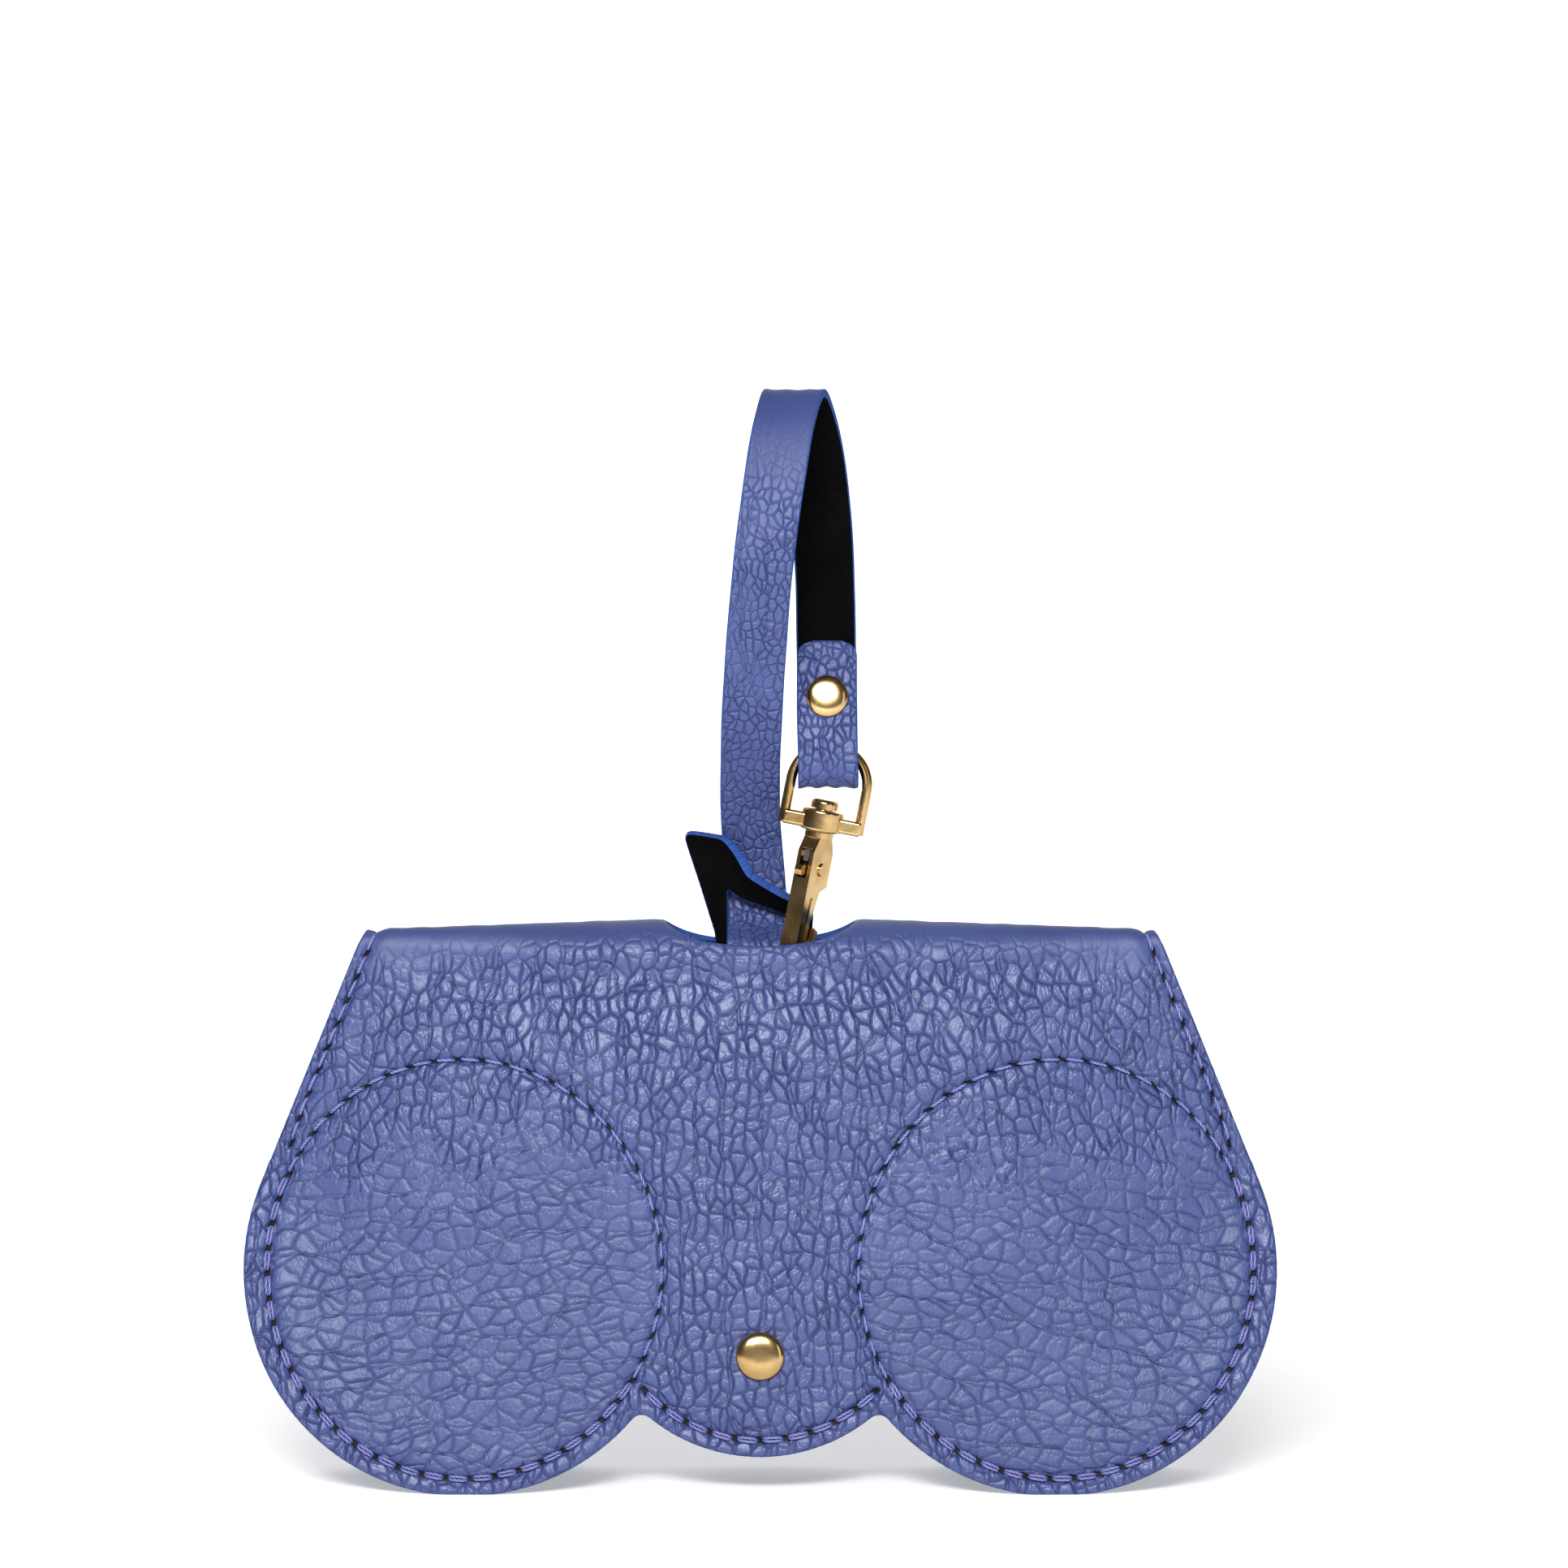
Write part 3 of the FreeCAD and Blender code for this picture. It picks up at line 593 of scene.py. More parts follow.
# ---- thread ----
def tube(points, radius, twist, sides=9, start=0.0):
    """Twisted three-ply thread along a line: points and faces."""
    points = np.asarray(points, float)
    tangent = np.gradient(points, axis=0)
    tangent /= np.linalg.norm(tangent, axis=1)[:, None]
    side = np.cross(tangent, [0.13, 0.31, 0.94])
    side /= np.linalg.norm(side, axis=1)[:, None]
    other = np.cross(tangent, side)
    travelled = np.concatenate([[0], np.cumsum(np.linalg.norm(np.diff(points, axis=0), axis=1))])
    turn = np.linspace(0, 2 * math.pi, sides, endpoint=False)
    verts, plies = [], []
    for p, a, b, length in zip(points, side, other, travelled):
        ply = np.cos(3 * (turn - twist * length) + start)
        reach = radius * (0.86 + 0.16 * ply)
        verts.append(p + a * (reach * np.cos(turn))[:, None] + b * (reach * np.sin(turn))[:, None])
        plies.append(ply)
    faces = []
    for i in range(len(points) - 1):
        for j in range(sides):
            k = (j + 1) % sides
            faces.append((i * sides + j, i * sides + k, (i + 1) * sides + k, (i + 1) * sides + j))
    return np.concatenate(verts), faces, np.concatenate(plies)


def wall_point(x, z, side, height):
    """Points above one outer wall, or below it for a negative height."""
    s = sheet_s(x, z, side)
    flat = np.stack([x, s], -1)
    return soft_point(x, s) + surface_normals(soft_point, flat) * np.asarray(height)[:, None]


def stitch_lines(name, side, inside_wall=False):
    """The visible thread of every stitch of a seam on one wall."""
    centres, ways, doubled = HOLES[name]
    closed = SEAMS[name][1]
    count = len(centres)
    pairs = [(i, (i + 1) % count) for i in range(count if closed else count - 1)]
    rise = np.array([-0.75, -0.30, 0.10, 0.24, 0.27, 0.24, 0.10, -0.30, -0.75])
    share = np.array([-0.02, 0.02, 0.10, 0.26, 0.5, 0.74, 0.90, 0.98, 1.02])
    steps = np.linspace(0, 1, 17)
    for i, j in pairs:
        double = bool(doubled[i] and doubled[j])
        a = centres[i] + ways[i] * (0.66 if double else 0.74)
        b = centres[j] - ways[j] * (0.66 if double else 0.74)
        across = np.array([-(b - a)[1], (b - a)[0]]) / np.hypot(*(b - a))
        for strand in ((-1, 1) if double else (0,)):
            path = a + (b - a) * np.interp(steps, np.linspace(0, 1, 9), share)[:, None]
            bow = np.sin(np.pi * steps)
            lean = 0.10 * (1 - 2 * steps)
            path = path + across * (strand * (0.16 + 0.12 * bow) + lean - 0.04 * math.sin(i * 2.3))[:, None]
            height = np.interp(steps, np.linspace(0, 1, 9), rise)
            if inside_wall:
                height = -WALL - height * 0.6 - 0.1
            else:
                height = height - 0.10 + 0.03 * math.sin(i * 1.9 + strand)
            yield wall_point(path[:, 0], path[:, 1], side, height), 0.25 if double else 0.27, i + strand


def build_seam(node, name, walls, material):
    """All the stitches of a seam, on the outside and the inside of its walls, as one piece."""
    verts, faces, plies, start = [], [], [], 0
    for side in walls:
        for inside_wall in (False, True):
            for line, radius, number in stitch_lines(name, side, inside_wall):
                if inside_wall:
                    line = line[::4]
                    radius = radius * 0.8
                v, f, ply = tube(line, radius, 2.6, 5 if inside_wall else 9, number)
                verts.append(v)
                plies.append(ply)
                faces += [tuple(i + start for i in face) for face in f]
                start += len(v)
    obj = make_mesh(node + "_thread", np.concatenate(verts), faces, [material], np.zeros(len(faces), int),
                    {"ply": np.concatenate(plies)})
    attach(obj, "sleeve")
    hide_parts(node)


# ---- straps ----
def ribbon_frames(route):
    """Evenly spaced points on a strap's route, with width and outward directions."""
    line = smooth_line(route, 14)
    lengths = np.concatenate([[0], np.cumsum(np.linalg.norm(np.diff(line, axis=0), axis=1))])
    count = int(lengths[-1] / 0.55)
    at = np.linspace(0, lengths[-1], count)
    line = np.stack([np.interp(at, lengths, line[:, i]) for i in range(3)], -1)
    tangent = np.gradient(line, axis=0)
    tangent /= np.linalg.norm(tangent, axis=1)[:, None]
    width = np.array([1.0, 0, 0]) - tangent * tangent[:, :1]
    width /= np.linalg.norm(width, axis=1)[:, None]
    face = np.cross(tangent, width)
    return line, width, face, at


def strap_section(half, thick, across=15):
    """Rounded cut-leather section: positions over the width and the thickness, and face kinds."""
    top = [(x, thick / 2) for x in np.linspace(half - 0.25, -half + 0.25, across)]
    low, high = thick * 0.25, thick * 0.42
    left = [(-half + 0.07, high), (-half, low), (-half, -low), (-half + 0.05, -high)]
    bottom = [(x, -thick / 2) for x in np.linspace(-half + 0.2, half - 0.2, across)]
    right = [(half - 0.05, -high), (half, -low), (half, low), (half - 0.07, high)]
    points = np.array(top + left + bottom + right)
    kinds = [0] * (across - 1) + [2] * 5 + [1] * (across - 1) + [2] * 5
    return points, kinds


def strap_mesh(name, frames, half_at, thick, materials, shape, end_radius):
    """A strap along its route. Material 0 is the inner face, 1 the outer face, 2 the cut edge."""
    line, width, face, at = frames
    verts, sheet = [], []
    for p, w, f, s in zip(line, width, face, at):
        half = half_at(s)
        left = at[-1] - s
        if left < end_radius:
            half -= end_radius - math.sqrt(max(end_radius ** 2 - (end_radius - left) ** 2, 0.02))
        section, kinds = strap_section(half, thick)
        u, v = section.T
        verts.append(p + w * u[:, None] + f * (v + shape(u, s))[:, None])
        sheet.append(np.stack([u, np.full(len(u), s), v], -1))
    count = len(kinds)
    faces, groups = [], []
    for i in range(len(line) - 1):
        for j in range(count):
            k = (j + 1) % count
            faces.append((i * count + j, i * count + k, (i + 1) * count + k, (i + 1) * count + j))
            groups.append(kinds[j])
    last = (len(line) - 1) * count
    faces += [tuple(range(count))[::-1], tuple(last + j for j in range(count))]
    groups += [2, 2]
    smooth_top = 0.75 * np.exp(-(((at - TOP_BEND_AT) / 16.0) ** 2))
    grain = np.repeat(1 - smooth_top, count)
    values = {"sheet": np.concatenate(sheet), "ridge": grain}
    return make_mesh(name, np.concatenate(verts), faces, materials, groups, values)


def build_strap(materials):
    """Pull strap inside the front wall and wrist loop, one unbroken strap."""
    def inner(z):
        depth = float(half_depth(np.array(0.0), np.array(float(z))))
        return -(depth - WALL - 1.05)

    low = [(0, inner(z), z) for z in (15.2, 22, 30, 40, 50, 60, 70)]
    out_of_notch = [(-0.4, -1.6, 79.0), (-0.7, 0.9, 84.5), (-0.7, 1.15, 88.0), (-0.6, 1.55, 89.3)]
    behind_tongue = [(-0.5, 5.1, 92.0), (-0.7, 6.7, 97.0), (-1.3, 6.3, 104.5), (-1.7, 2.8, 112.0)]
    rising = [(-1.5, -4.2, 124.0), (-0.7, -8.6, 138.0), (0.5, -10.4, 152.0), (2.2, -9.2, 165.0),
              (3.9, -5.6, 175.0)]
    over_the_top = [(5.7, 0.6, 179.9), (7.8, 6.6, 175.0), (9.6, 9.4, 165.0), (10.6, 8.0, 152.0)]
    falling = [(10.9, 3.6, 138.0), (11.0, 0.2, 128.0), (11.1, 0.7, 123.0), (11.2, 1.35, 118.2)]
    round_the_ring = [(11.2, 0.35, 116.2), (11.2, -1.0, 115.75), (11.2, -2.35, 116.2), (11.2, -3.35, 118.2)]
    flap = [(11.1, -2.75, 123.0), (11.0, -1.5, 128.4), (11.0, 0.24, 134.5), (11.0, 1.95, 139.0)]
    route = low + out_of_notch + behind_tongue + rising + over_the_top + falling + round_the_ring + flap
    frames = ribbon_frames(route)

    def shape(u, s):
        cup = 0.05 * np.cos(u * 0.6) * math.sin(s / 17.0)
        crease = 0.05 * np.sin(u * 1.6 + 0.8 * math.sin(s / 9.0)) * (0.5 + 0.5 * math.sin(s / 21.0))
        at_top = 0.09 * np.sin(u * 1.9 + 1.0) * math.exp(-(((s - TOP_RIPPLE_AT) / 13.0) ** 2))
        at_ring = 0.16 * np.cos(u * 2.1 + 0.6) * math.exp(-(((s - RING_BEND_AT) / 5.5) ** 2))
        return cup + crease + at_top + at_ring

    def half_at(s):
        return STRAP_WIDTH / 2 - 0.04 + 0.03 * math.sin(s / 6.1) + 0.02 * math.sin(s / 2.3)

    obj = strap_mesh("strap_leather_band", frames, half_at, STRAP - 0.08, materials, shape, 2.6)
    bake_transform(obj)
    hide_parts("wrist_loop", "pull_strap")
    return obj


# Tongue: the strip that comes up out of the notch and carries the slot.
TONGUE_TOP = [
    (-7.6, 87.0), (-7.3, 90.2), (-9.9, 98.6), (-12.55, 106.6), (-12.2, 107.25),
    (-9.5, 106.9), (-6.3, 106.3), (-4.3, 103.8), (-2.3, 100.2), (1.1, 98.0),
    (4.3, 96.3), (8.0, 95.3), (8.6, 94.8), (8.5, 91.0), (8.1, 87.0),
]
TONGUE_SLOT = [
    (-5.6, 89.0), (-5.6, 98.0), (-5.2, 98.0), (-3.4, 96.5),
    (1.1, 95.0), (5.0, 93.6), (5.2, 93.2), (5.2, 89.0),
]
TONGUE_FOOT = [
    (-7.6, 87.0), (-7.8, 75.0), (-7.8, 50.0), (-7.8, 22.0), (-7.2, 17.0),
    (-5.2, 14.8), (-2.5, 14.2), (2.5, 14.2), (5.2, 14.8), (7.2, 17.0),
    (7.8, 22.0), (7.8, 50.0), (7.8, 75.0), (8.1, 87.0),
]


def build_tongue(materials):
    """The strip's upper end and its foot behind the strap, one unbroken sheet."""
    y_face = 2.9

    def place(x, z):
        heights = [107.2, 106.3, 103.6, 100.0, 98.0, 96.2, 95.2]
        top = np.interp(x, [-12.6, -6.2, -4.2, -2.3, 1.1, 4.3, 8.6], heights)
        lip = np.maximum(z - (top - 3.4), 0)
        strength = np.interp(x, [-12.6, -7, -3, 3, 8.6], [0.06, 0.08, 0.24, 0.26, 0.18])
        right = np.clip((x - 3.0) / 4.0, 0, 1)
        y = y_face + 0.75 * right * right - strength * lip ** 1.75 - 0.004 * np.maximum(z - 96, 0) ** 2
        lower = np.clip((88.5 - z) / 9.0, 0, 1)
        lower = lower * lower * (3 - 2 * lower)
        depth = half_depth(x * 0, np.minimum(z, 84.0))
        wall = depth - WALL - 2.1
        y = y * (1 - lower) + wall * lower
        return np.stack([x, y + 0 * z, z], -1)

    loop = even_loop(np.array(TONGUE_FOOT + TONGUE_TOP[::-1][1:-1]), 0.6)
    slot = even_loop(np.array(TONGUE_SLOT), 0.45)
    pattern = triangulate(loop, [slot], np.zeros((0, 2)), 1.1, rings=(0.3,))
    flat = pattern[0]
    values = {"sheet": on_sheet(flat), "ridge": np.ones(len(flat))}
    worn = 0.05 * wave(flat[:, 0] / 1.6, flat[:, 1] / 2.6, 6.0)
    obj = thick_sheet("tongue_leather_strip", pattern, place, worn, 1.5, materials, values, fray=0.02)
    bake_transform(obj)
    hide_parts("tongue_tip", "tongue_foot")
    return obj


def even_loop(points, step):
    """A closed outline cut into short, equal steps, with its corners slightly rounded."""
    closed = np.concatenate([points, points[:1]])
    lengths = np.concatenate([[0], np.cumsum(np.hypot(*np.diff(closed, axis=0).T))])
    count = int(lengths[-1] / step)
    at = np.linspace(0, lengths[-1], count, endpoint=False)
    even = np.stack([np.interp(at, lengths, closed[:, i]) for i in range(2)], -1)
    for _ in range(2):
        even = even * 0.5 + np.roll(even, 1, 0) * 0.25 + np.roll(even, -1, 0) * 0.25
    return even


# ---- metal ----
def lathe(name, profile, centre, normal, material, sides=64):
    """A turned piece: (radius, height) pairs spun about the normal."""
    normal = Vector(normal).normalized()
    turn = Vector((0, 0, 1)).rotation_difference(normal)
    verts, faces = [], []
    for radius, height in profile:
        for i in range(sides):
            angle = 2 * math.pi * i / sides
            point = Vector((radius * math.cos(angle), radius * math.sin(angle), height))
            verts.append(tuple(turn @ point + centre))
    for i in range(len(profile) - 1):
        for j in range(sides):
            k = (j + 1) % sides
            faces.append((i * sides + j, i * sides + k, (i + 1) * sides + k, (i + 1) * sides + j))
    faces.append(tuple(range(sides))[::-1])
    faces.append(tuple((len(profile) - 1) * sides + i for i in range(sides)))
    return make_mesh(name, verts, faces, [material], np.zeros(len(faces), int))


def dome(cap, height):
    """Profile of a rivet cap: straight skirt, rounded shoulder, shallow dome."""
    points = [(cap - 0.35, -0.12), (cap - 0.12, -0.10), (cap, 0.05), (cap, 0.30)]
    for i in range(1, 25):
        turn = i / 25 * math.pi / 2
        points.append((cap * math.cos(turn) ** 0.62, 0.30 + (height - 0.30) * math.sin(turn)))
    points.append((0.02, height))
    return points


def build_rivets(gold):
    """Domed caps of the front, back and strap rivets."""
    depth = float(half_depth(np.array(0.0), np.array(RIVET_Z)))
    middle = np.zeros(2)
    slope = float(np.diff(half_depth(middle, np.array([RIVET_Z - 0.5, RIVET_Z + 0.5])))[0])
    for side, node in ((-1, "front_rivet_cap"), (1, "back_rivet_cap")):
        centre, normal = Vector((0, side * depth, RIVET_Z)), Vector((0, side, -slope)).normalized()
        cap = lathe(node + "_dome", dome(3.98, 1.5), centre + normal * 0.05, normal, gold)
        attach(cap, "sleeve")
        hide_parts(node)
    normal = Vector((0, -0.985, 0.17)).normalized()
    centre = Vector((11.0, -1.05, 130.0)) + normal * (STRAP / 2 + 0.12)
    cap = lathe("strap_rivet_cap_dome", dome(3.48, 1.4), centre, normal, gold)
    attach(cap, "loop")
    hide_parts("strap_rivet_cap")


def round_edges(obj, width):
    """Small round edges on a metal part that keeps its CAD mesh."""
    bevel = obj.modifiers.new("worn_edges", "BEVEL")
    bevel.width = width * MM
    bevel.segments = 3
    bevel.limit_method = "ANGLE"
    bevel.angle_limit = math.radians(28)
    bevel.harden_normals = False
    for polygon in obj.data.polygons:
        polygon.use_smooth = True


# ---- materials ----
def rgb(r, g, b):
    """A colour from 0-255 display values, as linear light."""
    def linear(c):
        return c / 255 / 12.92 if c <= 10 else ((c / 255 + 0.055) / 1.055) ** 2.4

    return (linear(r), linear(g), linear(b), 1.0)


class Nodes:
    """A short way to write a node material."""

    def __init__(self, name):
        self.material = bpy.data.materials.new(name)
        self.material.use_nodes = True
        self.tree = self.material.node_tree
        self.shader = self.tree.nodes["Principled BSDF"]

    def plug(self, socket, value):
        if isinstance(value, bpy.types.NodeSocket):
            self.tree.links.new(value, socket)
        elif value is not None:
            socket.default_value = value

    def add(self, kind, out=0, settings=None, **inputs):
        node = self.tree.nodes.new(kind)
        for key, value in (settings or {}).items():
            setattr(node, key, value)
        for key, value in inputs.items():
            self.plug(node.inputs[key.replace("_", " ")], value)
        return node.outputs[out]

    def math(self, operation, a, b=None):
        node = self.tree.nodes.new("ShaderNodeMath")
        node.operation = operation
        for socket, value in zip(node.inputs, (a, b)):
            self.plug(socket, value)
        return node.outputs[0]

    def times(self, a, b):
        return self.math("MULTIPLY", a, b)

    def plus(self, a, b):
        return self.math("ADD", a, b)

    def attribute(self, name, vector=False):
        return self.add("ShaderNodeAttribute", 1 if vector else 2, {"attribute_name": name})

    def mix(self, share, a, b):
        node = self.tree.nodes.new("ShaderNodeMix")
        node.data_type = "RGBA"
        for socket, value in ((node.inputs[0], share), (node.inputs[6], a), (node.inputs[7], b)):
            self.plug(socket, value)
        return node.outputs[2]

    def blend(self, share, a, b):
        node = self.tree.nodes.new("ShaderNodeMix")
        for socket, value in ((node.inputs[0], share), (node.inputs[2], a), (node.inputs[3], b)):
            self.plug(socket, value)
        return node.outputs[0]

    def ease(self, value, low, high, to_low=0.0, to_high=1.0):
        node = self.tree.nodes.new("ShaderNodeMapRange")
        node.interpolation_type = "SMOOTHSTEP"
        for socket, number in zip(node.inputs, (value, low, high, to_low, to_high)):
            self.plug(socket, number)
        return node.outputs[0]

    def scaled(self, vector, x, y, z=1.0):
        return self.add("ShaderNodeMapping", 0, None, Vector=vector, Scale=(x, y, z))

    def noise(self, vector, scale, detail=3.0, roughness=0.55):
        return self.add("ShaderNodeTexNoise", 0, None,
                        Vector=vector, Scale=scale, Detail=detail, Roughness=roughness)

    def cells(self, vector, scale, randomness=0.95):
        settings = {"voronoi_dimensions": "2D", "feature": "DISTANCE_TO_EDGE"}
        return self.add("ShaderNodeTexVoronoi", 0, settings,
                        Vector=vector, Scale=scale, Randomness=randomness)

    def finish(self, colour, roughness, height=None, distance=0.1, strength=1.0, **sockets):
        """Joins the results to the shader. distance is the bump's depth in millimetres."""
        self.plug(self.shader.inputs["Base Color"], colour)
        self.plug(self.shader.inputs["Roughness"], roughness)
        if height is not None:
            bump = self.add("ShaderNodeBump", 0, None,
                            Height=height, Distance=distance * MM, Strength=strength)
            self.plug(self.shader.inputs["Normal"], bump)
        for key, value in sockets.items():
            self.plug(self.shader.inputs[key.replace("_", " ")], value)
        return self.material


def warped(n, sheet, scale, amount):
    """Sheet coordinates pushed about by noise, so that grain lines wander."""
    push = n.add("ShaderNodeTexNoise", 1, None, Vector=sheet, Scale=scale, Detail=2.0, Roughness=0.5)
    centred = n.add("ShaderNodeVectorMath", 0, {"operation": "SUBTRACT"})
    node = centred.node
    n.plug(node.inputs[0], push)
    node.inputs[1].default_value = (0.5, 0.5, 0.5)
    spread = n.add("ShaderNodeVectorMath", 0, {"operation": "SCALE"})
    n.plug(spread.node.inputs[0], node.outputs[0])
    spread.node.inputs["Scale"].default_value = amount
    total = n.add("ShaderNodeVectorMath", 0, {"operation": "ADD"})
    n.plug(total.node.inputs[0], sheet)
    n.plug(total.node.inputs[1], spread.node.outputs[0])
    return total.node.outputs[0]


def grain_leather(name, wide=True, size=1.0):
    """Periwinkle blue pebbled leather, with painted highlight on the cell tops and painted shade in the
    creases and needle holes. Grain is worked out on the sheet itself, in millimetres.
    """
    n = Nodes(name)
    sheet = n.attribute("sheet", True)
    bent = warped(n, warped(n, sheet, 0.14, 3.0), 0.45, 0.55)
    if wide:
        lens, pit, edge, ridge = (n.attribute(key) for key in ("lens", "pit", "edge", "ridge"))
    else:
        lens, pit, edge, ridge = 0.0, 0.0, 0.0, n.attribute("ridge")
    fine = n.noise(sheet, 0.9, 3.0)
    shiver = n.times(n.math("SUBTRACT", fine, 0.5), 0.08)
    upright = n.cells(n.scaled(bent, 1 / 2.2, 1 / 3.1), 1 / size)
    flat = n.cells(n.scaled(bent, 1 / 3.6, 1 / 2.5), 1 / size)
    uneven = n.times(n.math("SUBTRACT", n.noise(sheet, 0.07, 3.0), 0.5), 1.6)
    share = n.ease(n.plus(lens, uneven), 0.35, 0.65)
    big = n.plus(n.blend(share, upright, flat), shiver)
    small = n.cells(n.scaled(bent, 1 / 0.95, 1 / 1.3), 1.0)

    def rounded(distance, reach):
        t = n.math("MINIMUM", n.math("MAXIMUM", n.math("DIVIDE", distance, reach), 0.0), 1.0)
        return n.times(t, n.math("SUBTRACT", 2.0, t))

    big_dome = rounded(big, 0.26)
    small_dome = rounded(small, 0.30)
    patchy = n.ease(n.noise(sheet, 0.30, 2.0), 0.40, 0.60)
    fibre = n.noise(n.scaled(sheet, 1.0, 0.7), 2.4, 6.0, 0.68)
    long_up = n.cells(n.scaled(bent, 1 / 6.0, 1 / 17.0), 1.0, randomness=1.0)
    long_flat = n.cells(n.scaled(bent, 1 / 17.0, 1 / 5.5), 1.0, randomness=1.0)
    long_fold = n.blend(share, long_up, long_flat)
    fold = n.ease(n.plus(long_fold, shiver), -0.02, 0.07)
    faded = n.ease(n.noise(sheet, 0.13, 1.0), 0.30, 0.62, 0.5, 1.0)
    height = n.times(big_dome, n.times(faded, 0.66))
    height = n.plus(height, n.times(small_dome, n.blend(patchy, 0.03, 0.12)))
    height = n.plus(height, n.times(fold, 0.42))
    height = n.plus(height, n.times(fibre, 0.10))
    strength = n.ease(ridge, 0.25, 0.95, 0.05, 1.0 if wide else 0.75)
    worn = n.noise(sheet, 0.05, 3.0)
    base = n.mix(n.ease(worn, 0.3, 0.7), rgb(51, 64, 116), rgb(57, 71, 123))
    # Painted highlight: the domed tops of the grain cells are painted a lighter blue.
    painted_dome_highlight = n.times(n.ease(big_dome, 0.55, 1.0), n.ease(fibre, 0.40, 0.62))
    painted_dome_highlight = n.times(painted_dome_highlight, 0.7)
    painted_dome_highlight = n.times(n.times(painted_dome_highlight, strength), n.blend(share, 1.0, 0.55))
    with_painted_highlight = n.mix(painted_dome_highlight, base, rgb(74, 84, 138))
    # Painted shade: the lines between grain cells and the long creases are painted dark blue.
    painted_cell_line_shade = n.times(n.ease(big, 0.08, 0.0), faded)
    crease = n.math("MAXIMUM", painted_cell_line_shade, n.ease(long_fold, 0.035, 0.0))
    crease = n.times(n.times(crease, strength), n.blend(share, 0.58, 0.42))
    colour = n.mix(crease, with_painted_highlight, rgb(34, 42, 86))
    colour = n.mix(n.times(edge, 0.25), colour, rgb(60, 72, 128))
    # Painted shade: the needle holes are painted near black.
    colour = n.mix(n.ease(pit, 0.30, 0.75), colour, rgb(8, 8, 14))
    polish = n.times(n.times(big_dome, strength), n.blend(share, 1.0, 0.6))
    roughness = n.blend(polish, 0.56, 0.39)
    roughness = n.plus(roughness, n.times(n.ease(pit, 0.3, 0.7), 0.4))
    tall = n.times(n.times(height, strength), n.blend(share, 1.0, 0.72))
    return n.finish(colour, roughness, tall, 0.50, 1.0, Specular_IOR_Level=0.62 if wide else 0.45)


def flesh_leather(name, colour_low, colour_high, scale=1.2):
    """The napped, dark back of the leather."""
    n = Nodes(name)
    sheet = n.attribute("sheet", True)
    nap = n.noise(sheet, scale, 6.0, 0.7)
    drift = n.noise(sheet, 0.12, 2.0)
    colour = n.mix(n.times(nap, n.ease(drift, 0.2, 0.8)), colour_low, colour_high)
    return n.finish(colour, n.blend(nap, 0.95, 0.75), nap, 0.16, 0.8, Specular_IOR_Level=0.06)


def cut_edge(name):
    """Dyed cut edge with fibres that run across the leather's thickness."""
    n = Nodes(name)
    sheet = n.attribute("sheet", True)
    strands = n.noise(n.scaled(sheet, 1.0, 1.0, 0.3), 3.2, 6.0, 0.75)
    soft = n.noise(sheet, 0.6, 2.0)
    colour = n.mix(n.ease(strands, 0.25, 0.75), rgb(16, 40, 98), rgb(46, 90, 170))
    colour = n.mix(n.ease(soft, 0.5, 0.8), colour, rgb(42, 70, 142))
    return n.finish(colour, n.blend(strands, 0.9, 0.7), strands, 0.22, 0.8, Specular_IOR_Level=0.3)


def thread_material():
    n = Nodes("waxed_thread")
    ply = n.attribute("ply")
    place = n.add("ShaderNodeTexCoord", 3)
    fuzz = n.noise(place, 2200.0, 4.0, 0.6)
    drift = n.noise(place, 160.0, 2.0)
    light = n.mix(drift, rgb(112, 118, 186), rgb(146, 148, 208))
    # Painted shade: the grooves between the twisted plies are painted darker than the thread.
    colour = n.mix(n.ease(ply, -0.9, 0.5), rgb(56, 58, 112), light)
    return n.finish(colour, n.blend(fuzz, 0.45, 0.7), fuzz, 0.05, 0.6, Specular_IOR_Level=0.5)


def gold_metal(name, low=(186, 148, 92), high=(224, 192, 138), rough=0.15):
    """Pale gold plate with fine polishing marks and dull spots."""
    n = Nodes(name)
    place = n.add("ShaderNodeTexCoord", 3)
    brushed = n.noise(n.scaled(place, 1.0, 1.0, 0.25), 1500.0, 5.0, 0.7)
    cloudy = n.noise(place, 130.0, 3.0)
    wavy = n.noise(place, 330.0, 2.0)
    colour = n.mix(n.ease(cloudy, 0.3, 0.7), rgb(*low), rgb(*high))
    scratches = n.times(n.ease(brushed, 0.55, 0.8), 0.12)
    roughness = n.plus(n.blend(cloudy, rough, rough + 0.10), scratches)
    height = n.plus(n.times(wavy, 1.0), n.times(brushed, 0.12))
    return n.finish(colour, roughness, height, 0.10, 0.35, Metallic=1.0)


def lining_material():
    n = Nodes("lining_suede")
    sheet = n.attribute("sheet", True)
    nap = n.noise(sheet, 1.6, 6.0, 0.7)
    brushed = n.noise(n.scaled(sheet, 0.5, 0.16), 0.5, 3.0)
    colour = n.mix(n.ease(brushed, 0.35, 0.65), rgb(104, 118, 146), rgb(128, 142, 170))
    colour = n.mix(n.times(nap, 0.5), colour, rgb(146, 158, 184))
    return n.finish(colour, n.blend(nap, 1.0, 0.85), nap, 0.16, 0.8, Specular_IOR_Level=0.2)


def floor_material():
    n = Nodes("pale_floor")
    place = n.add("ShaderNodeTexCoord", 3)
    mottle = n.noise(place, 6.0, 3.0)
    colour = n.mix(mottle, (0.93, 0.93, 0.93, 1), (0.95, 0.95, 0.95, 1))
    n.plug(n.shader.inputs["Emission Color"], (1.0, 1.0, 1.0, 1))
    n.plug(n.shader.inputs["Emission Strength"], 0.34)
    return n.finish(colour, n.blend(mottle, 0.85, 0.9), mottle, 0.05, 0.2, Specular_IOR_Level=0.1)


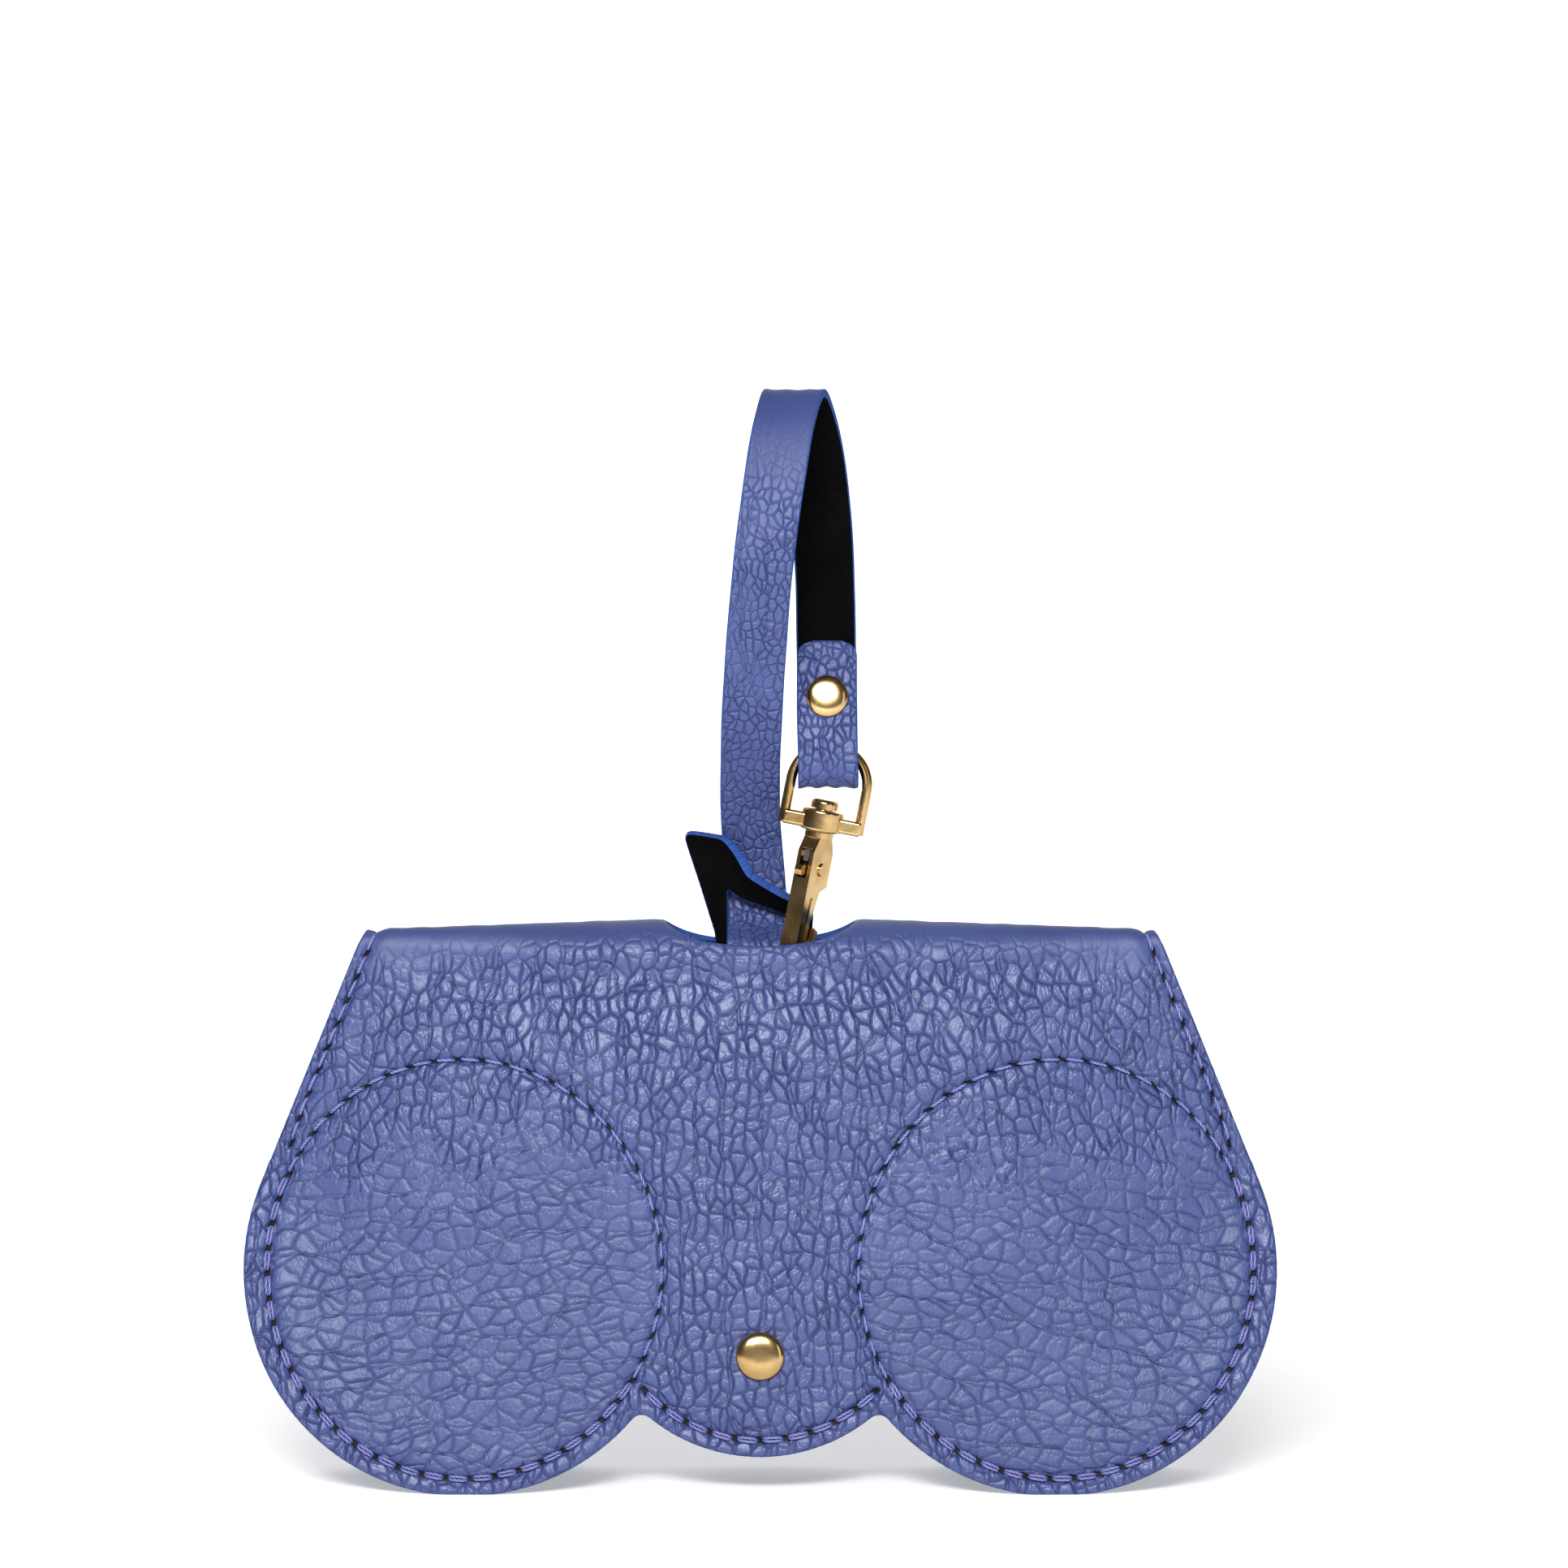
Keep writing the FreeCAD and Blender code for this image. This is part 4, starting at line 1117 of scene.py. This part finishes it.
# ---- build the object ----
LEATHER_GRAIN = grain_leather("pebbled_leather")
STRAP_GRAIN = grain_leather("strap_grain", wide=False, size=0.62)
BLACK_FLESH = flesh_leather("black_flesh_side", rgb(1, 1, 2), rgb(8, 8, 9))
EDGE = cut_edge("cut_leather_edge")
LINING_SUEDE = lining_material()
THREAD = thread_material()
GOLD = gold_metal("pale_gold_plate")
STEEL = gold_metal("spring_steel_finish", (120, 122, 126), (168, 170, 174), 0.3)

build_sleeve([LEATHER_GRAIN, BLACK_FLESH, EDGE], LINING_SUEDE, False)
for wall_name, wall_side in (("front", -1), ("back", 1)):
    for seam_name in ("left_lens_seam", "right_lens_seam", "bottom_seam"):
        build_seam(f"{wall_name}_{seam_name}", seam_name, [wall_side], THREAD)
for seam_name in ("left_side_seam", "right_side_seam"):
    build_seam(seam_name, seam_name, [-1, 1], THREAD)
build_strap([BLACK_FLESH, STRAP_GRAIN, EDGE])
build_tongue([BLACK_FLESH, STRAP_GRAIN, EDGE])
build_rivets(GOLD)
for node in ("swivel_ring", "hook_body", "hook_gate", "gate_pin", "gate_spring",
             "front_rivet_base", "back_rivet_base", "strap_rivet_base"):
    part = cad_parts[node]
    part.data.materials.clear()
    part.data.materials.append(STEEL if node == "gate_spring" else GOLD)
    round_edges(part, {"hook_body": 0.55, "swivel_ring": 0.3, "hook_gate": 0.3}.get(node, 0.08))

# ---- floor, light and camera ----
floor_mesh = bpy.data.meshes.new("studio_floor")
sweep = [(-1.6, 0.0), (0.9, 0.0)]
sweep += [(0.9 + 0.6 * math.sin(a), 0.6 - 0.6 * math.cos(a)) for a in np.radians(np.arange(6, 91, 6))]
sweep += [(1.5, 2.6)]
floor_points = [(x, y, z) for y, z in sweep for x in (-3.0, 3.0)]
floor_faces = [(2 * i, 2 * i + 1, 2 * i + 3, 2 * i + 2) for i in range(len(sweep) - 1)]
floor_mesh.from_pydata(floor_points, [], floor_faces)
for polygon in floor_mesh.polygons:
    polygon.use_smooth = True
floor_mesh.materials.append(floor_material())
floor = bpy.data.objects.new("studio_floor", floor_mesh)
bpy.context.scene.collection.objects.link(floor)


def area_light(name, place, aim, width, height, power):
    lamp = bpy.data.lights.new(name, "AREA")
    lamp.shape = "RECTANGLE"
    lamp.size, lamp.size_y = width, height
    lamp.energy = power
    obj = bpy.data.objects.new(name, lamp)
    obj.location = place
    obj.rotation_mode = "QUATERNION"
    obj.rotation_quaternion = (Vector(aim) - Vector(place)).to_track_quat("-Z", "Y")
    bpy.context.scene.collection.objects.link(obj)


area_light("key_softbox", (-0.15, -0.95, 0.66), (0, 0.0, 0.07), 0.75, 0.35, 7.0)
area_light("sheen_softbox", (-0.05, -0.80, 0.48), (-0.02, 0, 0.08), 0.34, 0.12, 6.0)
area_light("right_fill", (1.05, -0.9, 0.30), (0, 0, 0.1), 0.25, 0.7, 1.0)
area_light("backdrop_wash", (0.0, 0.75, 1.2), (0, 1.7, 0.35), 2.2, 0.5, 12.0)

world = bpy.data.worlds.new("studio")
bpy.context.scene.world = world
world.use_nodes = True
world.node_tree.nodes["Background"].inputs["Color"].default_value = (1, 1, 1, 1)
world.node_tree.nodes["Background"].inputs["Strength"].default_value = 0.06

camera_data = bpy.data.cameras.new("camera")
camera_data.lens = 150
camera_data.sensor_width = 36
camera = bpy.data.objects.new("camera", camera_data)
bpy.context.scene.collection.objects.link(camera)
target = Vector((0.0039, 0.0, 0.1156))
elevation = math.radians(3.2)
distance = 0.2590 / 36 * 150
camera.location = target + Vector((0, -math.cos(elevation), math.sin(elevation))) * distance
camera.rotation_mode = "QUATERNION"
camera.rotation_quaternion = (target - camera.location).to_track_quat("-Z", "Y")
bpy.context.scene.camera = camera
bpy.context.scene.view_settings.view_transform = "Standard"
bpy.context.scene.view_settings.look = "None"
